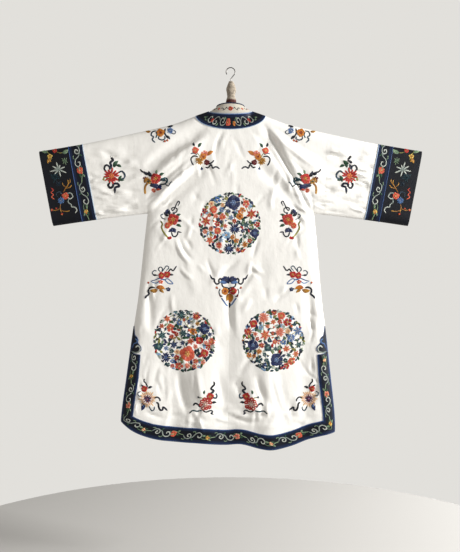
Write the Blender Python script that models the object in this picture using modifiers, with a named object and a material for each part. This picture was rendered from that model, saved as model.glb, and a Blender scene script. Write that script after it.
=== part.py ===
"""A silk robe with applied navy borders, hung flat from a cloth-wrapped hanger, with its back towards -Y.

Metres, +Z up. The origin is the point under the bend of the hook where a rail or a nail carries it.
The wearer's left is at -X and the wearer's right at +X. The robe closes on the wearer's right.
"""

import math

import bmesh
import bpy
from mathutils import Vector

# Driving sizes
CLOTH = 0.0016  # wall of the lined silk
GAP = 0.0003  # space between two pieces at a seam
TRIM = 0.0012  # wall of an applied border
LEFT, RIGHT = -1, 1
BACK, FRONT = -1, 1
TINY = 1e-9

# The neck is an oval, lower at the front than at the back
NECK_HALF_WIDTH = 0.0753
NECK_HALF_DEPTH = 0.036
NECK_SIDE_Z = -0.1526
NECK_DROP = {BACK: 0.0154, FRONT: 0.0524}
NECK_ANGLES = (0, 25, 45, 65, 80, 90)

# The neckband's outer edge is a wider oval round the neck
BAND_HALF_WIDTH = 0.1216
BAND_SIDE_Z = -0.1687
BAND_DROP = {BACK: 0.0487, FRONT: 0.0873}
BAND_STEP = 7.5  # degrees between the points of its edge
BAND_PAST_SEAM = 0.004

# Shoulder fold from the neck to the cuff: x, z
SHOULDER_LINE = (
    (0.0753, -0.1526),
    (0.1216, -0.1687),
    (0.1960, -0.1964),
    (0.2888, -0.2184),
    (0.5180, -0.2671),
    (0.5670, -0.2755),
    (0.6692, -0.2923),
)
# Underside of the sleeve from the underarm to the cuff: x, z
UNDERARM_X, UNDERARM_Z = 0.2905, -0.5096
UNDERSIDE_LINE = (
    (UNDERARM_X, UNDERARM_Z),
    (0.3290, -0.5137),
    (0.4683, -0.5310),
    (0.6195, -0.5530),
)
# Half width of the body below the underarm: z, half width
BODY_WIDTH = (
    (-1.3500, 0.3719),
    (-1.2350, 0.3719),
    (-1.0777, 0.3550),
    (-0.9062, 0.3340),
    (-0.8047, 0.3200),
    (-0.6470, 0.3045),
    (UNDERARM_Z, UNDERARM_X),
)
SWING = 0.0096  # how far the hem hangs towards the wearer's left
SWING_END_Z = -1.2350
SWING_BEND = 1.3
# Edge of the hem, which dips and rises with the folds above it: x, z
HEM_LINE = (
    (-0.3815, -1.2335),
    (-0.3380, -1.2650),
    (-0.2820, -1.2872),
    (-0.2000, -1.3012),
    (-0.0928, -1.3065),
    (-0.0137, -1.3125),
    (0.0357, -1.3095),
    (0.1043, -1.3250),
    (0.1435, -1.3280),
    (0.2027, -1.3167),
    (0.2762, -1.2910),
    (0.3623, -1.2700),
)

# Half depth of the hung robe by height: z, towards the back, towards the front
BODY_DEPTH = (
    (-1.3400, 0.0290, 0.0200),
    (-0.9500, 0.0260, 0.0180),
    (-0.6000, 0.0230, 0.0165),
    (-0.3500, 0.0205, 0.0155),
    (-0.1500, 0.0180, 0.0145),
)
SLEEVE_DEPTH = {BACK: 0.0135, FRONT: 0.0115}
SLEEVE_FROM_X, SLEEVE_FULL_X = 0.20, 0.36
BELOW_UNDERARM = 0.1  # within this height the sleeve's depth gives way to the body's
# How far in from the shoulder fold the cloth has rounded over: x, distance
TOP_ROUND = ((0.0, 0.050), (0.0753, 0.034), (0.20, 0.030), (0.67, 0.026))
SIDE_ROUND = 0.040
VENT_TOP_Z = -0.9030
VENT_OPEN = {BACK: 0.011, FRONT: 0.008}  # half gap between the free edges at the hem
VENT_EASE = 0.1  # height below the vent's top over which folds may reach the free edge

# The largest folds: face, from x and z, to x and z, half width, height (a trough is negative)
FOLDS = (
    (BACK, -0.095, -0.225, -0.275, -0.345, 0.020, -0.0065),
    (BACK, -0.085, -0.240, -0.270, -0.470, 0.022, 0.0060),
    (BACK, -0.060, -0.330, -0.250, -0.500, 0.020, -0.0055),
    (BACK, 0.100, -0.215, 0.215, -0.400, 0.020, -0.0070),
    (BACK, 0.140, -0.215, 0.270, -0.455, 0.022, 0.0060),
    (BACK, 0.080, -0.330, 0.255, -0.500, 0.020, -0.0050),
    (BACK, -0.215, -0.780, -0.190, -1.330, 0.034, -0.0080),
    (BACK, -0.100, -0.950, -0.085, -1.330, 0.036, 0.0070),
    (BACK, -0.010, -0.820, -0.005, -1.330, 0.032, -0.0070),
    (BACK, 0.120, -0.960, 0.140, -1.340, 0.040, 0.0110),
    (BACK, 0.250, -0.860, 0.265, -1.320, 0.030, -0.0060),
    (FRONT, -0.090, -0.300, -0.260, -0.480, 0.022, 0.0040),
    (FRONT, 0.100, -0.330, 0.260, -0.480, 0.022, 0.0040),
    (FRONT, -0.180, -0.900, -0.170, -1.330, 0.036, 0.0050),
    (FRONT, 0.060, -0.850, 0.060, -1.330, 0.036, -0.0050),
    (FRONT, 0.200, -0.950, 0.215, -1.330, 0.034, 0.0050),
)
FOLD_FADE = 0.045  # folds die out this far from a closed edge
FOLD_TAPER = 4  # a fold grows over this part of its length, counted from each end

# Columns of the panels' grids
SHOULDER_COLUMNS = (0.105, 0.140, 0.175, 0.210, 0.240)
FROM_SIDE = (0.030, 0.014, 0.005, 0.0012, 0.0)
# Columns of the sleeve, which lean with the cuff: x at the fold, x at the underside
SLEEVE_COLUMNS = (
    (0.3130, 0.3100),
    (0.3360, 0.3290),
    (0.3950, 0.3750),
    (0.4570, 0.4220),
    (0.5180, 0.4683),
    (0.5670, 0.5180),
    (0.6180, 0.5690),
    (0.6692, 0.6195),
)
SEAM_COLUMN, BORDER_COLUMN, CUFF_COLUMN, END_COLUMN = 1, 4, 5, 7  # places in SLEEVE_COLUMNS
BORDER_PROUD, CUFF_PROUD = 0.0004, 0.0002  # these pieces stand out from the silk by this much
# Rows: distances below the fold, then shares of what is left, at the centre and at the underarm
FOLD_ROWS = (0.0, 0.0012, 0.005, 0.012, 0.022, 0.035)
CHEST_ROWS = (
    (0.13, 0.25),
    (0.27, 0.50),
    (0.42, 0.74),
    (0.57, 0.93),
    (0.72, 0.980),
    (0.86, 0.995),
    (1.0, 1.0),
)
TORSO_ROWS = (0.10, 0.20, 0.30, 0.40, 0.50, 0.60, 0.70, 0.80, 0.90, 1.0)

# Edge of the overlap from below the neck to the wearer's right side: x, z
CLOSURE_LINE = (
    (0.0, -0.2620),
    (0.060, -0.2710),
    (0.120, -0.3010),
    (0.180, -0.3560),
    (0.235, -0.4330),
    (0.310, -0.5400),
)
CLOSURE_STEPS = 14
# The overlap rises over the front below it as it crosses the centre line
OVER_RISE = 0.060
OVER_FULL_X = -0.002

# Width of the vent border by height, with the lobes of its cloud head: z, width
VENT_BORDER = (
    (-0.9030, 0.0020),
    (-0.9340, 0.0100),
    (-0.9410, 0.0190),
    (-0.9500, 0.0245),
    (-0.9590, 0.0240),
    (-0.9650, 0.0290),
    (-0.9750, 0.0390),
    (-0.9860, 0.0400),
    (-0.9920, 0.0340),
    (-0.9935, 0.0130),
    (-0.9985, 0.0120),
    (-1.0000, 0.0390),
    (-1.0800, 0.0430),
    (-1.2000, 0.0410),
)
HEM_BORDER = 0.050
HEM_STEPS = 22
# Cutters reach past the cloth: sideways, in depth, above the neck and below the hem
OUTSIDE = 0.6
CUTTER_DEPTH = 0.12
ABOVE_NECK_Z = -0.12
BELOW_HEM_Z = -1.5

# Standing collar
COLLAR_WALL = 0.0020
COLLAR_TOP_HALF_WIDTH = 0.0490
COLLAR_TOP_HALF_DEPTH = 0.0310
COLLAR_SIDE_Z = -0.1390
COLLAR_TOP_RISE = {BACK: 0.0080, FRONT: -0.0290}
COLLAR_SLIT = 0.0015
COLLAR_INSET = 0.0025  # the collar's foot stands this far inside the neck edge
COLLAR_SEAT = 0.0004  # and this far above it
COLLAR_ROWS = 3
PIPING_RADIUS = 0.0016

# Hanger
ARM_RADIUS = 0.0055
ARM_REACH = 0.205
ARM_BELOW_FOLD = 0.0098  # from the shoulder fold to the arm's centre line
ARM_NECK_DROP = 0.0070  # the arms run this much lower where they pass under the collar
ARM_LEVEL_X = 0.1300  # where that ends
ARM_CENTRE_Z = -0.1480
ARM_ARCH = 0.75  # share of an S-curve that the arms follow from the centre to the neck's side
ARM_STATIONS = 8
WRAP_CENTRE_X = 0.0020
# Outer shape of the wrapped neck: z, radius
WRAP_PROFILE = (
    (-0.0470, 0.0070),
    (-0.0535, 0.0103),
    (-0.0627, 0.0140),
    (-0.0767, 0.0172),
    (-0.0907, 0.0145),
    (-0.1003, 0.0138),
    (-0.1117, 0.0170),
    (-0.1230, 0.0185),
    (-0.1330, 0.0170),
    (-0.1421, 0.0120),
)
WRAP_SIDES = 18
HOOK_WIRE = 0.0016
HOOK_INNER_RADIUS = 0.0140
HOOK_STEM_Z = -0.0467
HOOK_TIP_ANGLE = 215
HOOK_START_ANGLE = -50
HOOK_STEP = 18
HOOK_STEM = 0.007

# Knot buttons: name, x and z of the ball, direction of the loop's bar in degrees, what the button lies on
BUTTONS = (
    ("neck", 0.0070, -0.2320, 180, "neckband"),
    ("chest", 0.1560, -0.3200, 235, "under"),
    ("underarm", 0.2580, -0.4560, 215, "under"),
    ("side_upper", 0.2660, -0.6500, 180, "overlap"),
    ("side_lower", 0.2790, -0.8000, 180, "overlap"),
)
SEATS = {"under": (GAP, 0.0), "neckband": (GAP, TRIM + GAP), "overlap": (GAP + CLOTH + GAP, 0.0)}
BALL_RADIUS = 0.0042
BALL_RINGS = 6
BAR_RADIUS = 0.0020
BAR_LENGTH = 0.028
BUTTON_BAR = ((0.0052, 0.2), (0.0110, 1.0))  # distance from the ball, share of the way down to the cloth
KNOT_SPARE = 0.0004  # the knots clear the facets of the cloth below them by this much
KNOT_SIDES = 8

SILK = ("ivory silk", (0.86, 0.84, 0.78), 0.38)
NAVY = ("navy border silk", (0.012, 0.022, 0.060), 0.45)
INK = ("blue-black cuff silk", (0.010, 0.012, 0.022), 0.45)
COLLAR_SILK = ("collar silk", (0.80, 0.76, 0.66), 0.45)
WRAP_CLOTH = ("wrapping cloth", (0.45, 0.40, 0.32), 0.90)
WOOD = ("hanger wood", (0.42, 0.27, 0.14), 0.55)
STEEL = ("hook steel", (0.16, 0.15, 0.14), 0.35)


def clear_scene():
    for obj in list(bpy.data.objects):
        bpy.data.objects.remove(obj, do_unlink=True)


def new_collection(name):
    collection = bpy.data.collections.new(name)
    bpy.context.scene.collection.children.link(collection)
    return collection


def material(finish):
    name, colour, roughness = finish
    made = bpy.data.materials.get(name)
    if made is None:
        made = bpy.data.materials.new(name)
        made.use_nodes = True
        shader = made.node_tree.nodes["Principled BSDF"]
        shader.inputs["Base Color"].default_value = (*colour, 1.0)
        shader.inputs["Roughness"].default_value = roughness
        shader.inputs["Metallic"].default_value = 1.0 if finish is STEEL else 0.0
    return made


def add_mesh(name, points, faces, collection, finish=None):
    mesh = bpy.data.meshes.new(name)
    mesh.from_pydata([tuple(p) for p in points], [], faces)
    mesh.validate()
    mesh.shade_smooth()
    mesh.set_sharp_from_angle(angle=math.radians(50))
    obj = bpy.data.objects.new(name, mesh)
    collection.objects.link(obj)
    if finish is not None:
        mesh.materials.append(material(finish))
    return obj


def clamp(value, low=0.0, high=1.0):
    return max(low, min(high, value))


def ease(share):
    share = clamp(share)
    return share * share * (3 - 2 * share)


def mix(a, b, share):
    return a + (b - a) * share


def line_through(rows, column=1):
    """A smooth function through the rows of a table, from its first column to the given one."""
    rows = sorted(rows)
    at = [row[0] for row in rows]
    value = [row[column] for row in rows]
    rise = [(value[i + 1] - value[i]) / (at[i + 1] - at[i]) for i in range(len(rows) - 1)]
    slope = [rise[0]] + [(a + b) / 2 for a, b in zip(rise, rise[1:])] + [rise[-1]]

    def read(place):
        place = clamp(place, at[0], at[-1])
        i = max(k for k in range(len(rows) - 1) if at[k] <= place)
        span = at[i + 1] - at[i]
        t = (place - at[i]) / span
        start = value[i] * (1 + 2 * t) * (1 - t) ** 2 + value[i + 1] * t * t * (3 - 2 * t)
        return start + span * (slope[i] * t * (1 - t) ** 2 - slope[i + 1] * t * t * (1 - t))

    return read


shoulder_z = line_through(SHOULDER_LINE)
underside_z = line_through(UNDERSIDE_LINE)
body_half_width = line_through(BODY_WIDTH)
hem_z = line_through(HEM_LINE)
body_depth = {BACK: line_through(BODY_DEPTH, 1), FRONT: line_through(BODY_DEPTH, 2)}
top_round = line_through(TOP_ROUND)
closure_z = line_through(CLOSURE_LINE)


def centre_x(z):
    """The centre line of the body, which swings a little below the underarm."""
    share = clamp((UNDERARM_Z - z) / (UNDERARM_Z - SWING_END_Z))
    return -SWING * share**SWING_BEND


def round_the_neck(x):
    """1 at the centre line, 0 at the side of the neck and past it."""
    return math.sqrt(max(0.0, 1 - (x / NECK_HALF_WIDTH) ** 2))


def top_z(x, face):
    """Upper edge of a panel: the neck, then the shoulder fold."""
    x = abs(x)
    if x < NECK_HALF_WIDTH:
        return NECK_SIDE_Z - NECK_DROP[face] * round_the_neck(x)
    return shoulder_z(x)


def from_side(x, z):
    """Distance from the side seam, the underarm corner or the sleeve's underside."""
    if abs(x) >= UNDERARM_X and z > UNDERARM_Z - BELOW_UNDERARM and abs(x) > body_half_width(z) - TINY:
        return z - underside_z(abs(x))
    if z >= UNDERARM_Z:
        return math.hypot(UNDERARM_X - abs(x), z - UNDERARM_Z)
    return body_half_width(z) - abs(x - centre_x(z))


def rounded(distance, width, deep, shallow):
    """A depth that grows from shallow at an edge to deep one width in, along a quarter oval."""
    share = clamp(distance / width)
    turned = 1 - (1 - share) ** 2
    return math.sqrt(deep * deep * turned + shallow * shallow * (1 - turned))


def fold_height(x, z, face):
    total = 0.0
    for of_face, x0, z0, x1, z1, width, height in FOLDS:
        if of_face != face:
            continue
        along = ((x - x0) * (x1 - x0) + (z - z0) * (z1 - z0)) / ((x1 - x0) ** 2 + (z1 - z0) ** 2)
        near = clamp(along)
        away = math.hypot(x - mix(x0, x1, near), z - mix(z0, z1, near))
        taper = ease(near * FOLD_TAPER)
        if z1 > hem_z(x1) + HEM_BORDER:
            taper *= ease((1 - near) * FOLD_TAPER)
        total += height * taper * math.exp(-((away / width) ** 2))
    return total


def half_depth(x, z, face):
    """How far the cloth's outer side is from the plane y = 0."""
    below_top = max(0.0, top_z(x, face) - z)
    inside = max(0.0, from_side(x, z))
    sleeve = ease((abs(x) - SLEEVE_FROM_X) / (SLEEVE_FULL_X - SLEEVE_FROM_X))
    sleeve *= ease((z - UNDERARM_Z) / BELOW_UNDERARM + 1)
    region = mix(body_depth[face](z), SLEEVE_DEPTH[face], sleeve)
    vent = VENT_OPEN[face] * ease((VENT_TOP_Z - z) / (VENT_TOP_Z - SWING_END_Z))
    deep = rounded(inside, SIDE_ROUND, region, vent)
    depth = rounded(below_top, top_round(abs(x)), deep, NECK_HALF_DEPTH * round_the_neck(x))
    open_edge = ease((VENT_TOP_Z - z) / VENT_EASE)
    fade = ease(below_top / FOLD_FADE) * mix(ease(inside / FOLD_FADE), 1.0, open_edge)
    return GAP / 2 + depth + fade * fold_height(x, z, face)


class Surface:
    """Points of a cloth's outer side, the triangles between them, and which points lie on a seam."""

    def __init__(self):
        self.points = []
        self.place = {}
        self.flat_in_x = set()
        self.flat_in_y = set()
        self.triangles = []

    def point(self, key, position):
        if key not in self.place:
            self.place[key] = len(self.points)
            self.points.append(Vector(position))
        return self.place[key]

    def cell(self, corners, outwards):
        """Two triangles with their outer side towards outwards (a sign of y), from four places in turn."""
        a, b, c, d = corners
        turn = (self.points[b] - self.points[a]).cross(self.points[d] - self.points[a])
        turn += (self.points[d] - self.points[c]).cross(self.points[b] - self.points[c])
        if turn.y * outwards < 0:
            a, b, c, d = a, d, c, b
        self.triangles += [(a, b, c), (a, c, d)]

    def normals(self):
        found = [Vector((0, 0, 0)) for _ in self.points]
        for a, b, c in self.triangles:
            normal = (self.points[b] - self.points[a]).cross(self.points[c] - self.points[a])
            for i in (a, b, c):
                found[i] += normal
        for i, normal in enumerate(found):
            if i in self.flat_in_x:
                normal.x = 0
            if i in self.flat_in_y:
                normal.y = 0
            normal.normalize()
        return found


def body_columns():
    """x of each column at the chest, from the centre line to the underarm."""
    neck = [NECK_HALF_WIDTH * math.sin(math.radians(a)) for a in NECK_ANGLES]
    return neck + list(SHOULDER_COLUMNS) + [UNDERARM_X - d for d in FROM_SIDE]


BODY_COLUMNS = body_columns()
LAST_BODY = len(BODY_COLUMNS) - 1
LAST_CHEST_ROW = len(FOLD_ROWS) - 1 + len(CHEST_ROWS)
LAST_ROW = LAST_CHEST_ROW + len(TORSO_ROWS)


def column_ends(column):
    """x of a column at its top and at its foot."""
    if column <= LAST_BODY:
        return BODY_COLUMNS[column], BODY_COLUMNS[column]
    return SLEEVE_COLUMNS[column - LAST_BODY - 1]


def grid_place(column, row, side, face):
    """x and z of a grid point on one half of the robe."""
    top_x, foot_x = column_ends(column)
    if row <= LAST_CHEST_ROW:
        start = Vector((top_x, top_z(top_x, face)))
        end = Vector((foot_x, UNDERARM_Z if column <= LAST_BODY else underside_z(foot_x)))
        length = (end - start).length
        if row < len(FOLD_ROWS):
            distance = FOLD_ROWS[row]
        else:
            at_centre, at_side = CHEST_ROWS[row - len(FOLD_ROWS)]
            share = mix(at_centre, at_side, ease(foot_x / UNDERARM_X))
            distance = mix(FOLD_ROWS[-1], length, share)
        x, z = start.lerp(end, distance / length)
        return side * x, z
    share = TORSO_ROWS[row - LAST_CHEST_ROW - 1]
    across = side * BODY_COLUMNS[column] / UNDERARM_X
    foot = hem_z(centre_x(SWING_END_Z) + across * body_half_width(SWING_END_Z))
    z = mix(UNDERARM_Z, foot, share)
    return centre_x(z) + across * body_half_width(z), z


def closed_edge(column, row, z):
    """Whether a grid point lies on the shoulder fold, the side seam or the sleeve's underside."""
    on_fold = row == 0 and column_ends(column)[0] >= NECK_HALF_WIDTH - TINY
    on_underside = row == LAST_CHEST_ROW and column >= LAST_BODY
    on_side = row > LAST_CHEST_ROW and column == LAST_BODY and z > VENT_TOP_Z
    return on_fold or on_underside or on_side


def add_half(surface, side, face, columns, seams=(), shift=None, round_tube=False):
    """Adds the cells of one half between two columns. Seams name the columns cut straight across."""
    first, last = columns

    def at(column, row):
        x, z = grid_place(column, row, side, face)
        y = face * half_depth(x, z, face)
        edge = closed_edge(column, row, z)
        of_face = face
        if round_tube and edge:
            of_face, y = 0, 0.0
        key = (0 if column == 0 else side, of_face, column, row)
        if shift and column in shift:
            x += side * shift[column]
        index = surface.point(key, (x, y, z))
        if edge:
            surface.flat_in_y.add(index)
        if column in seams:
            surface.flat_in_x.add(index)
        return index

    for column in range(first, last):
        rows = LAST_ROW if column < LAST_BODY else LAST_CHEST_ROW
        for row in range(rows):
            corners = (at(column, row), at(column + 1, row), at(column + 1, row + 1), at(column, row + 1))
            surface.cell(corners, face)


def wall(name, surface, inner, outer, collection, finish=None):
    """A closed wall between two distances out from a surface. A distance may change with the place."""
    normals = surface.normals()
    count = len(surface.points)

    def moved(distance):
        return [
            p + n * (distance(p) if callable(distance) else distance)
            for p, n in zip(surface.points, normals)
        ]

    faces = list(surface.triangles)
    faces += [(c + count, b + count, a + count) for a, b, c in surface.triangles]
    edges = {(t[i], t[(i + 1) % 3]) for t in surface.triangles for i in range(3)}
    for a, b in sorted(edges):
        if (b, a) not in edges:
            faces += [(b, a, a + count), (b, a + count, b + count)]
    return add_mesh(name, moved(outer) + moved(inner), faces, collection, finish)


def prism(name, outline, near_y, far_y, cutters):
    """A cutter: an outline in x and z, as thick as the space from near_y to far_y."""
    curve = bpy.data.curves.new(name, "CURVE")
    curve.dimensions = "2D"
    curve.fill_mode = "BOTH"
    curve.extrude = (far_y - near_y) / 2
    spline = curve.splines.new("POLY")
    spline.points.add(len(outline) - 1)
    for point, (x, z) in zip(spline.points, outline):
        point.co = (x, z, 0, 1)
    spline.use_cyclic_u = True
    flat = bpy.data.objects.new(name + "_outline", curve)
    cutters.objects.link(flat)
    flat.rotation_euler = (math.pi / 2, 0, 0)
    flat.location = (0, (near_y + far_y) / 2, 0)
    bpy.context.view_layer.update()
    graph = bpy.context.evaluated_depsgraph_get()
    mesh = bpy.data.meshes.new_from_object(flat.evaluated_get(graph))
    solid = bpy.data.objects.new(name, mesh)
    solid.matrix_world = flat.matrix_world
    cutters.objects.link(solid)
    bpy.data.objects.remove(flat)
    weld(solid.data)
    solid.hide_render = True
    solid.display_type = "WIRE"
    return solid


def weld(mesh):
    work = bmesh.new()
    work.from_mesh(mesh)
    bmesh.ops.remove_doubles(work, verts=work.verts, dist=0.00001)
    bmesh.ops.recalc_face_normals(work, faces=work.faces)
    work.to_mesh(mesh)
    work.free()


def cut(obj, cutter, operation):
    modifier = obj.modifiers.new("outline", "BOOLEAN")
    modifier.operation = operation
    modifier.solver = "EXACT"
    modifier.object = cutter


def over_lift(point):
    """Distance of the overlap's outer side from the panel below it: none on the wearer's left."""
    return (CLOTH + GAP) * ease(1 + (point.x - OVER_FULL_X) / OVER_RISE)


def whole_face(face):
    """The back, or the front with its overlap, as one surface that trimmings are cut from."""
    surface = Surface()
    add_half(surface, LEFT, face, (0, LAST_BODY))
    add_half(surface, RIGHT, face, (0, LAST_BODY))
    return surface


def body_panels(robe, cutters):
    seam = LAST_BODY + 1 + SEAM_COLUMN
    edges = {0: GAP / 2, seam: -GAP / 2}
    for name, side, face in (
        ("back_left", LEFT, BACK),
        ("back_right", RIGHT, BACK),
        ("front_under", RIGHT, FRONT),
    ):
        surface = Surface()
        add_half(surface, side, face, (0, seam), seams=(0, seam), shift=edges)
        wall(name, surface, -CLOTH, 0.0, robe, SILK)

    surface = Surface()
    add_half(surface, LEFT, FRONT, (0, seam), seams=(seam,), shift={seam: -GAP / 2})
    add_half(surface, RIGHT, FRONT, (0, LAST_BODY))
    over = wall("front_over", surface, lambda p: over_lift(p) - CLOTH, over_lift, robe, SILK)
    cut(over, prism("overlap_edge", overlap_outline(), 0.0, CUTTER_DEPTH, cutters), "DIFFERENCE")


def overlap_outline():
    """The part of the wearer's right front that the overlap leaves open."""
    steps = [i / CLOSURE_STEPS * CLOSURE_LINE[-1][0] for i in range(CLOSURE_STEPS + 1)]
    start = [(-GAP, ABOVE_NECK_Z), (-GAP, CLOSURE_LINE[0][1])]
    return start + [(x, closure_z(x)) for x in steps[1:]] + [(CLOSURE_LINE[-1][0], ABOVE_NECK_Z)]


def sleeve_pieces(robe):
    """The lengthening piece, the narrow border and the cuff band of each sleeve, all closed round."""
    cuts = (SEAM_COLUMN, BORDER_COLUMN, CUFF_COLUMN, END_COLUMN)
    pieces = (("sleeve", SILK, 0.0), ("sleeve_border", NAVY, BORDER_PROUD), ("cuff", INK, CUFF_PROUD))
    for side, side_name in ((LEFT, "left"), (RIGHT, "right")):
        for (first, last), (name, finish, proud) in zip(zip(cuts, cuts[1:]), pieces):
            start, end = LAST_BODY + 1 + first, LAST_BODY + 1 + last
            surface = Surface()
            for face in (BACK, FRONT):
                add_half(
                    surface,
                    side,
                    face,
                    (start, end),
                    seams=(start, end),
                    shift={start: GAP / 2, end: -GAP / 2 if last != END_COLUMN else 0.0},
                    round_tube=True,
                )
            wall(f"{name}_{side_name}", surface, -CLOTH, proud, robe, finish)


def oval(half_width, side_z, drop, angle):
    """x and z on an oval round the neck. The angle is 0 at the centre line and 90 at the side."""
    turn = math.radians(angle)
    return half_width * math.sin(turn), side_z - drop * math.cos(turn)


def neckband_outline(face, first_x, last_x):
    """The neckband between two places across, as an outline in x and z."""
    steps = round(90 / BAND_STEP)
    angles = [i * BAND_STEP for i in range(-steps, steps + 1)]
    outer = [oval(BAND_HALF_WIDTH, BAND_SIDE_Z, BAND_DROP[face], a) for a in angles]
    outer = [(x, z) for x, z in outer if first_x < x < last_x]
    left, right = outer[0], outer[-1]
    start = (max(first_x, left[0] - BAND_PAST_SEAM), left[1])
    end = (min(last_x, right[0] + BAND_PAST_SEAM), right[1])
    return [(start[0], ABOVE_NECK_Z), start, *outer, end, (end[0], ABOVE_NECK_Z)]


def neckbands(robe, cutters):
    """The band round the neck, split at the shoulder folds and at the centre front."""
    back = wall("neckband_back", whole_face(BACK), GAP, GAP + TRIM, robe, NAVY)
    cutter = prism("neckband_back_edge", neckband_outline(BACK, -OUTSIDE, OUTSIDE), -CUTTER_DEPTH, 0.0, cutters)
    cut(back, cutter, "INTERSECT")

    left = wall(
        "neckband_front_left",
        whole_face(FRONT),
        lambda p: over_lift(p) + GAP,
        lambda p: over_lift(p) + GAP + TRIM,
        robe,
        NAVY,
    )
    cutter = prism("neckband_left_edge", neckband_outline(FRONT, -OUTSIDE, -GAP), 0.0, CUTTER_DEPTH, cutters)
    cut(left, cutter, "INTERSECT")

    under = Surface()
    add_half(under, RIGHT, FRONT, (0, LAST_BODY))
    right = wall("neckband_front_right", under, GAP, GAP + TRIM, robe, NAVY)
    cutter = prism("neckband_right_edge", neckband_outline(FRONT, GAP, OUTSIDE), 0.0, CUTTER_DEPTH, cutters)
    cut(right, cutter, "INTERSECT")


def border_outline():
    """The vent and hem border as one outline in x and z, inner edge first."""
    inner = []
    hem_half = body_half_width(SWING_END_Z)
    corner = hem_half - VENT_BORDER[-1][1]
    for side in (LEFT, RIGHT):
        vent = [(centre_x(z) + side * (body_half_width(z) - width), z) for z, width in VENT_BORDER]
        inner.append(vent if side == LEFT else vent[::-1])
    hem = []
    for i in range(HEM_STEPS + 1):
        x = centre_x(SWING_END_Z) + mix(-corner, corner, i / HEM_STEPS)
        hem.append((x, hem_z(x) + HEM_BORDER))
    top = VENT_BORDER[0][0]
    outside = [(OUTSIDE, top), (OUTSIDE, BELOW_HEM_Z), (-OUTSIDE, BELOW_HEM_Z), (-OUTSIDE, top)]
    return inner[0] + hem + inner[1] + outside


def borders(robe, cutters):
    outline = border_outline()
    back = wall("border_back", whole_face(BACK), GAP, GAP + TRIM, robe, NAVY)
    cut(back, prism("border_back_edge", outline, -CUTTER_DEPTH, 0.0, cutters), "INTERSECT")
    front = wall(
        "border_front",
        whole_face(FRONT),
        lambda p: over_lift(p) + GAP,
        lambda p: over_lift(p) + GAP + TRIM,
        robe,
        NAVY,
    )
    cut(front, prism("border_front_edge", outline, 0.0, CUTTER_DEPTH, cutters), "INTERSECT")


def collar_stations():
    """x, y and z of the collar's foot and top, from the centre front round the back to the front again."""
    angles = []
    for face, side in ((FRONT, RIGHT), (BACK, RIGHT), (BACK, LEFT), (FRONT, LEFT)):
        run = [(face, side, a) for a in NECK_ANGLES]
        angles += run[:-1] if side * face == RIGHT else run[:0:-1]
    angles += [(FRONT, LEFT, 0)]
    stations = []
    for face, side, angle in angles:
        turn = math.radians(angle)
        x, foot_z = oval(NECK_HALF_WIDTH, NECK_SIDE_Z, NECK_DROP[face], angle)
        outward = Vector((math.sin(turn) / NECK_HALF_WIDTH, math.cos(turn) / NECK_HALF_DEPTH)).normalized()
        foot = Vector(
            (
                side * (x - COLLAR_INSET * outward.x),
                face * (NECK_HALF_DEPTH * math.cos(turn) - COLLAR_INSET * outward.y),
                foot_z + COLLAR_SEAT,
            )
        )
        top = Vector(
            (
                side * COLLAR_TOP_HALF_WIDTH * math.sin(turn),
                face * COLLAR_TOP_HALF_DEPTH * math.cos(turn),
                COLLAR_SIDE_Z + COLLAR_TOP_RISE[face] * math.cos(turn),
            )
        )
        if face == FRONT and angle == 0:
            foot.x = side * COLLAR_SLIT
            top.x = side * COLLAR_SLIT * 2
        stations.append((foot, top))
    return stations


def standing_collar(robe):
    surface = Surface()
    stations = collar_stations()
    for i, (foot, top) in enumerate(stations):
        for row in range(COLLAR_ROWS + 1):
            surface.point((i, row), foot.lerp(top, row / COLLAR_ROWS))
    for i in range(len(stations) - 1):
        for row in range(COLLAR_ROWS):
            a, b = surface.place[i, row], surface.place[i + 1, row]
            c, d = surface.place[i + 1, row + 1], surface.place[i, row + 1]
            surface.triangles += [(a, c, b), (a, d, c)]
    wall("collar", surface, -COLLAR_WALL, 0.0, robe, COLLAR_SILK)
    inward = COLLAR_WALL / 2
    path = []
    for _, top in stations:
        centre = Vector((top.x, top.y, 0)).normalized() * inward
        path.append(top - centre + Vector((0, 0, PIPING_RADIUS + GAP)))
    cord("collar_piping", path, PIPING_RADIUS, robe, NAVY)


def cord(name, path, radius, collection, finish, resolution=1):
    """A round rod along a path, with flat ends, as a mesh."""
    curve = bpy.data.curves.new(name, "CURVE")
    curve.dimensions = "3D"
    curve.bevel_depth = radius
    curve.bevel_resolution = resolution
    curve.use_fill_caps = True
    spline = curve.splines.new("POLY")
    spline.points.add(len(path) - 1)
    for point, place in zip(spline.points, path):
        point.co = (*place, 1)
    curve.materials.append(material(finish))
    obj = bpy.data.objects.new(name, curve)
    collection.objects.link(obj)
    return obj


def arm_z(x):
    """Centre line of the hanger's arms, which follow the shoulder folds and arch under the neck."""
    x = abs(x)
    if x >= NECK_HALF_WIDTH:
        share = (x - NECK_HALF_WIDTH) / (ARM_LEVEL_X - NECK_HALF_WIDTH)
        return shoulder_z(x) - ARM_BELOW_FOLD - ARM_NECK_DROP * (1 - ease(share))
    at_side = shoulder_z(NECK_HALF_WIDTH) - ARM_BELOW_FOLD - ARM_NECK_DROP
    return mix(ARM_CENTRE_Z, at_side, ease(x / NECK_HALF_WIDTH * ARM_ARCH) / ease(ARM_ARCH))


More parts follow.
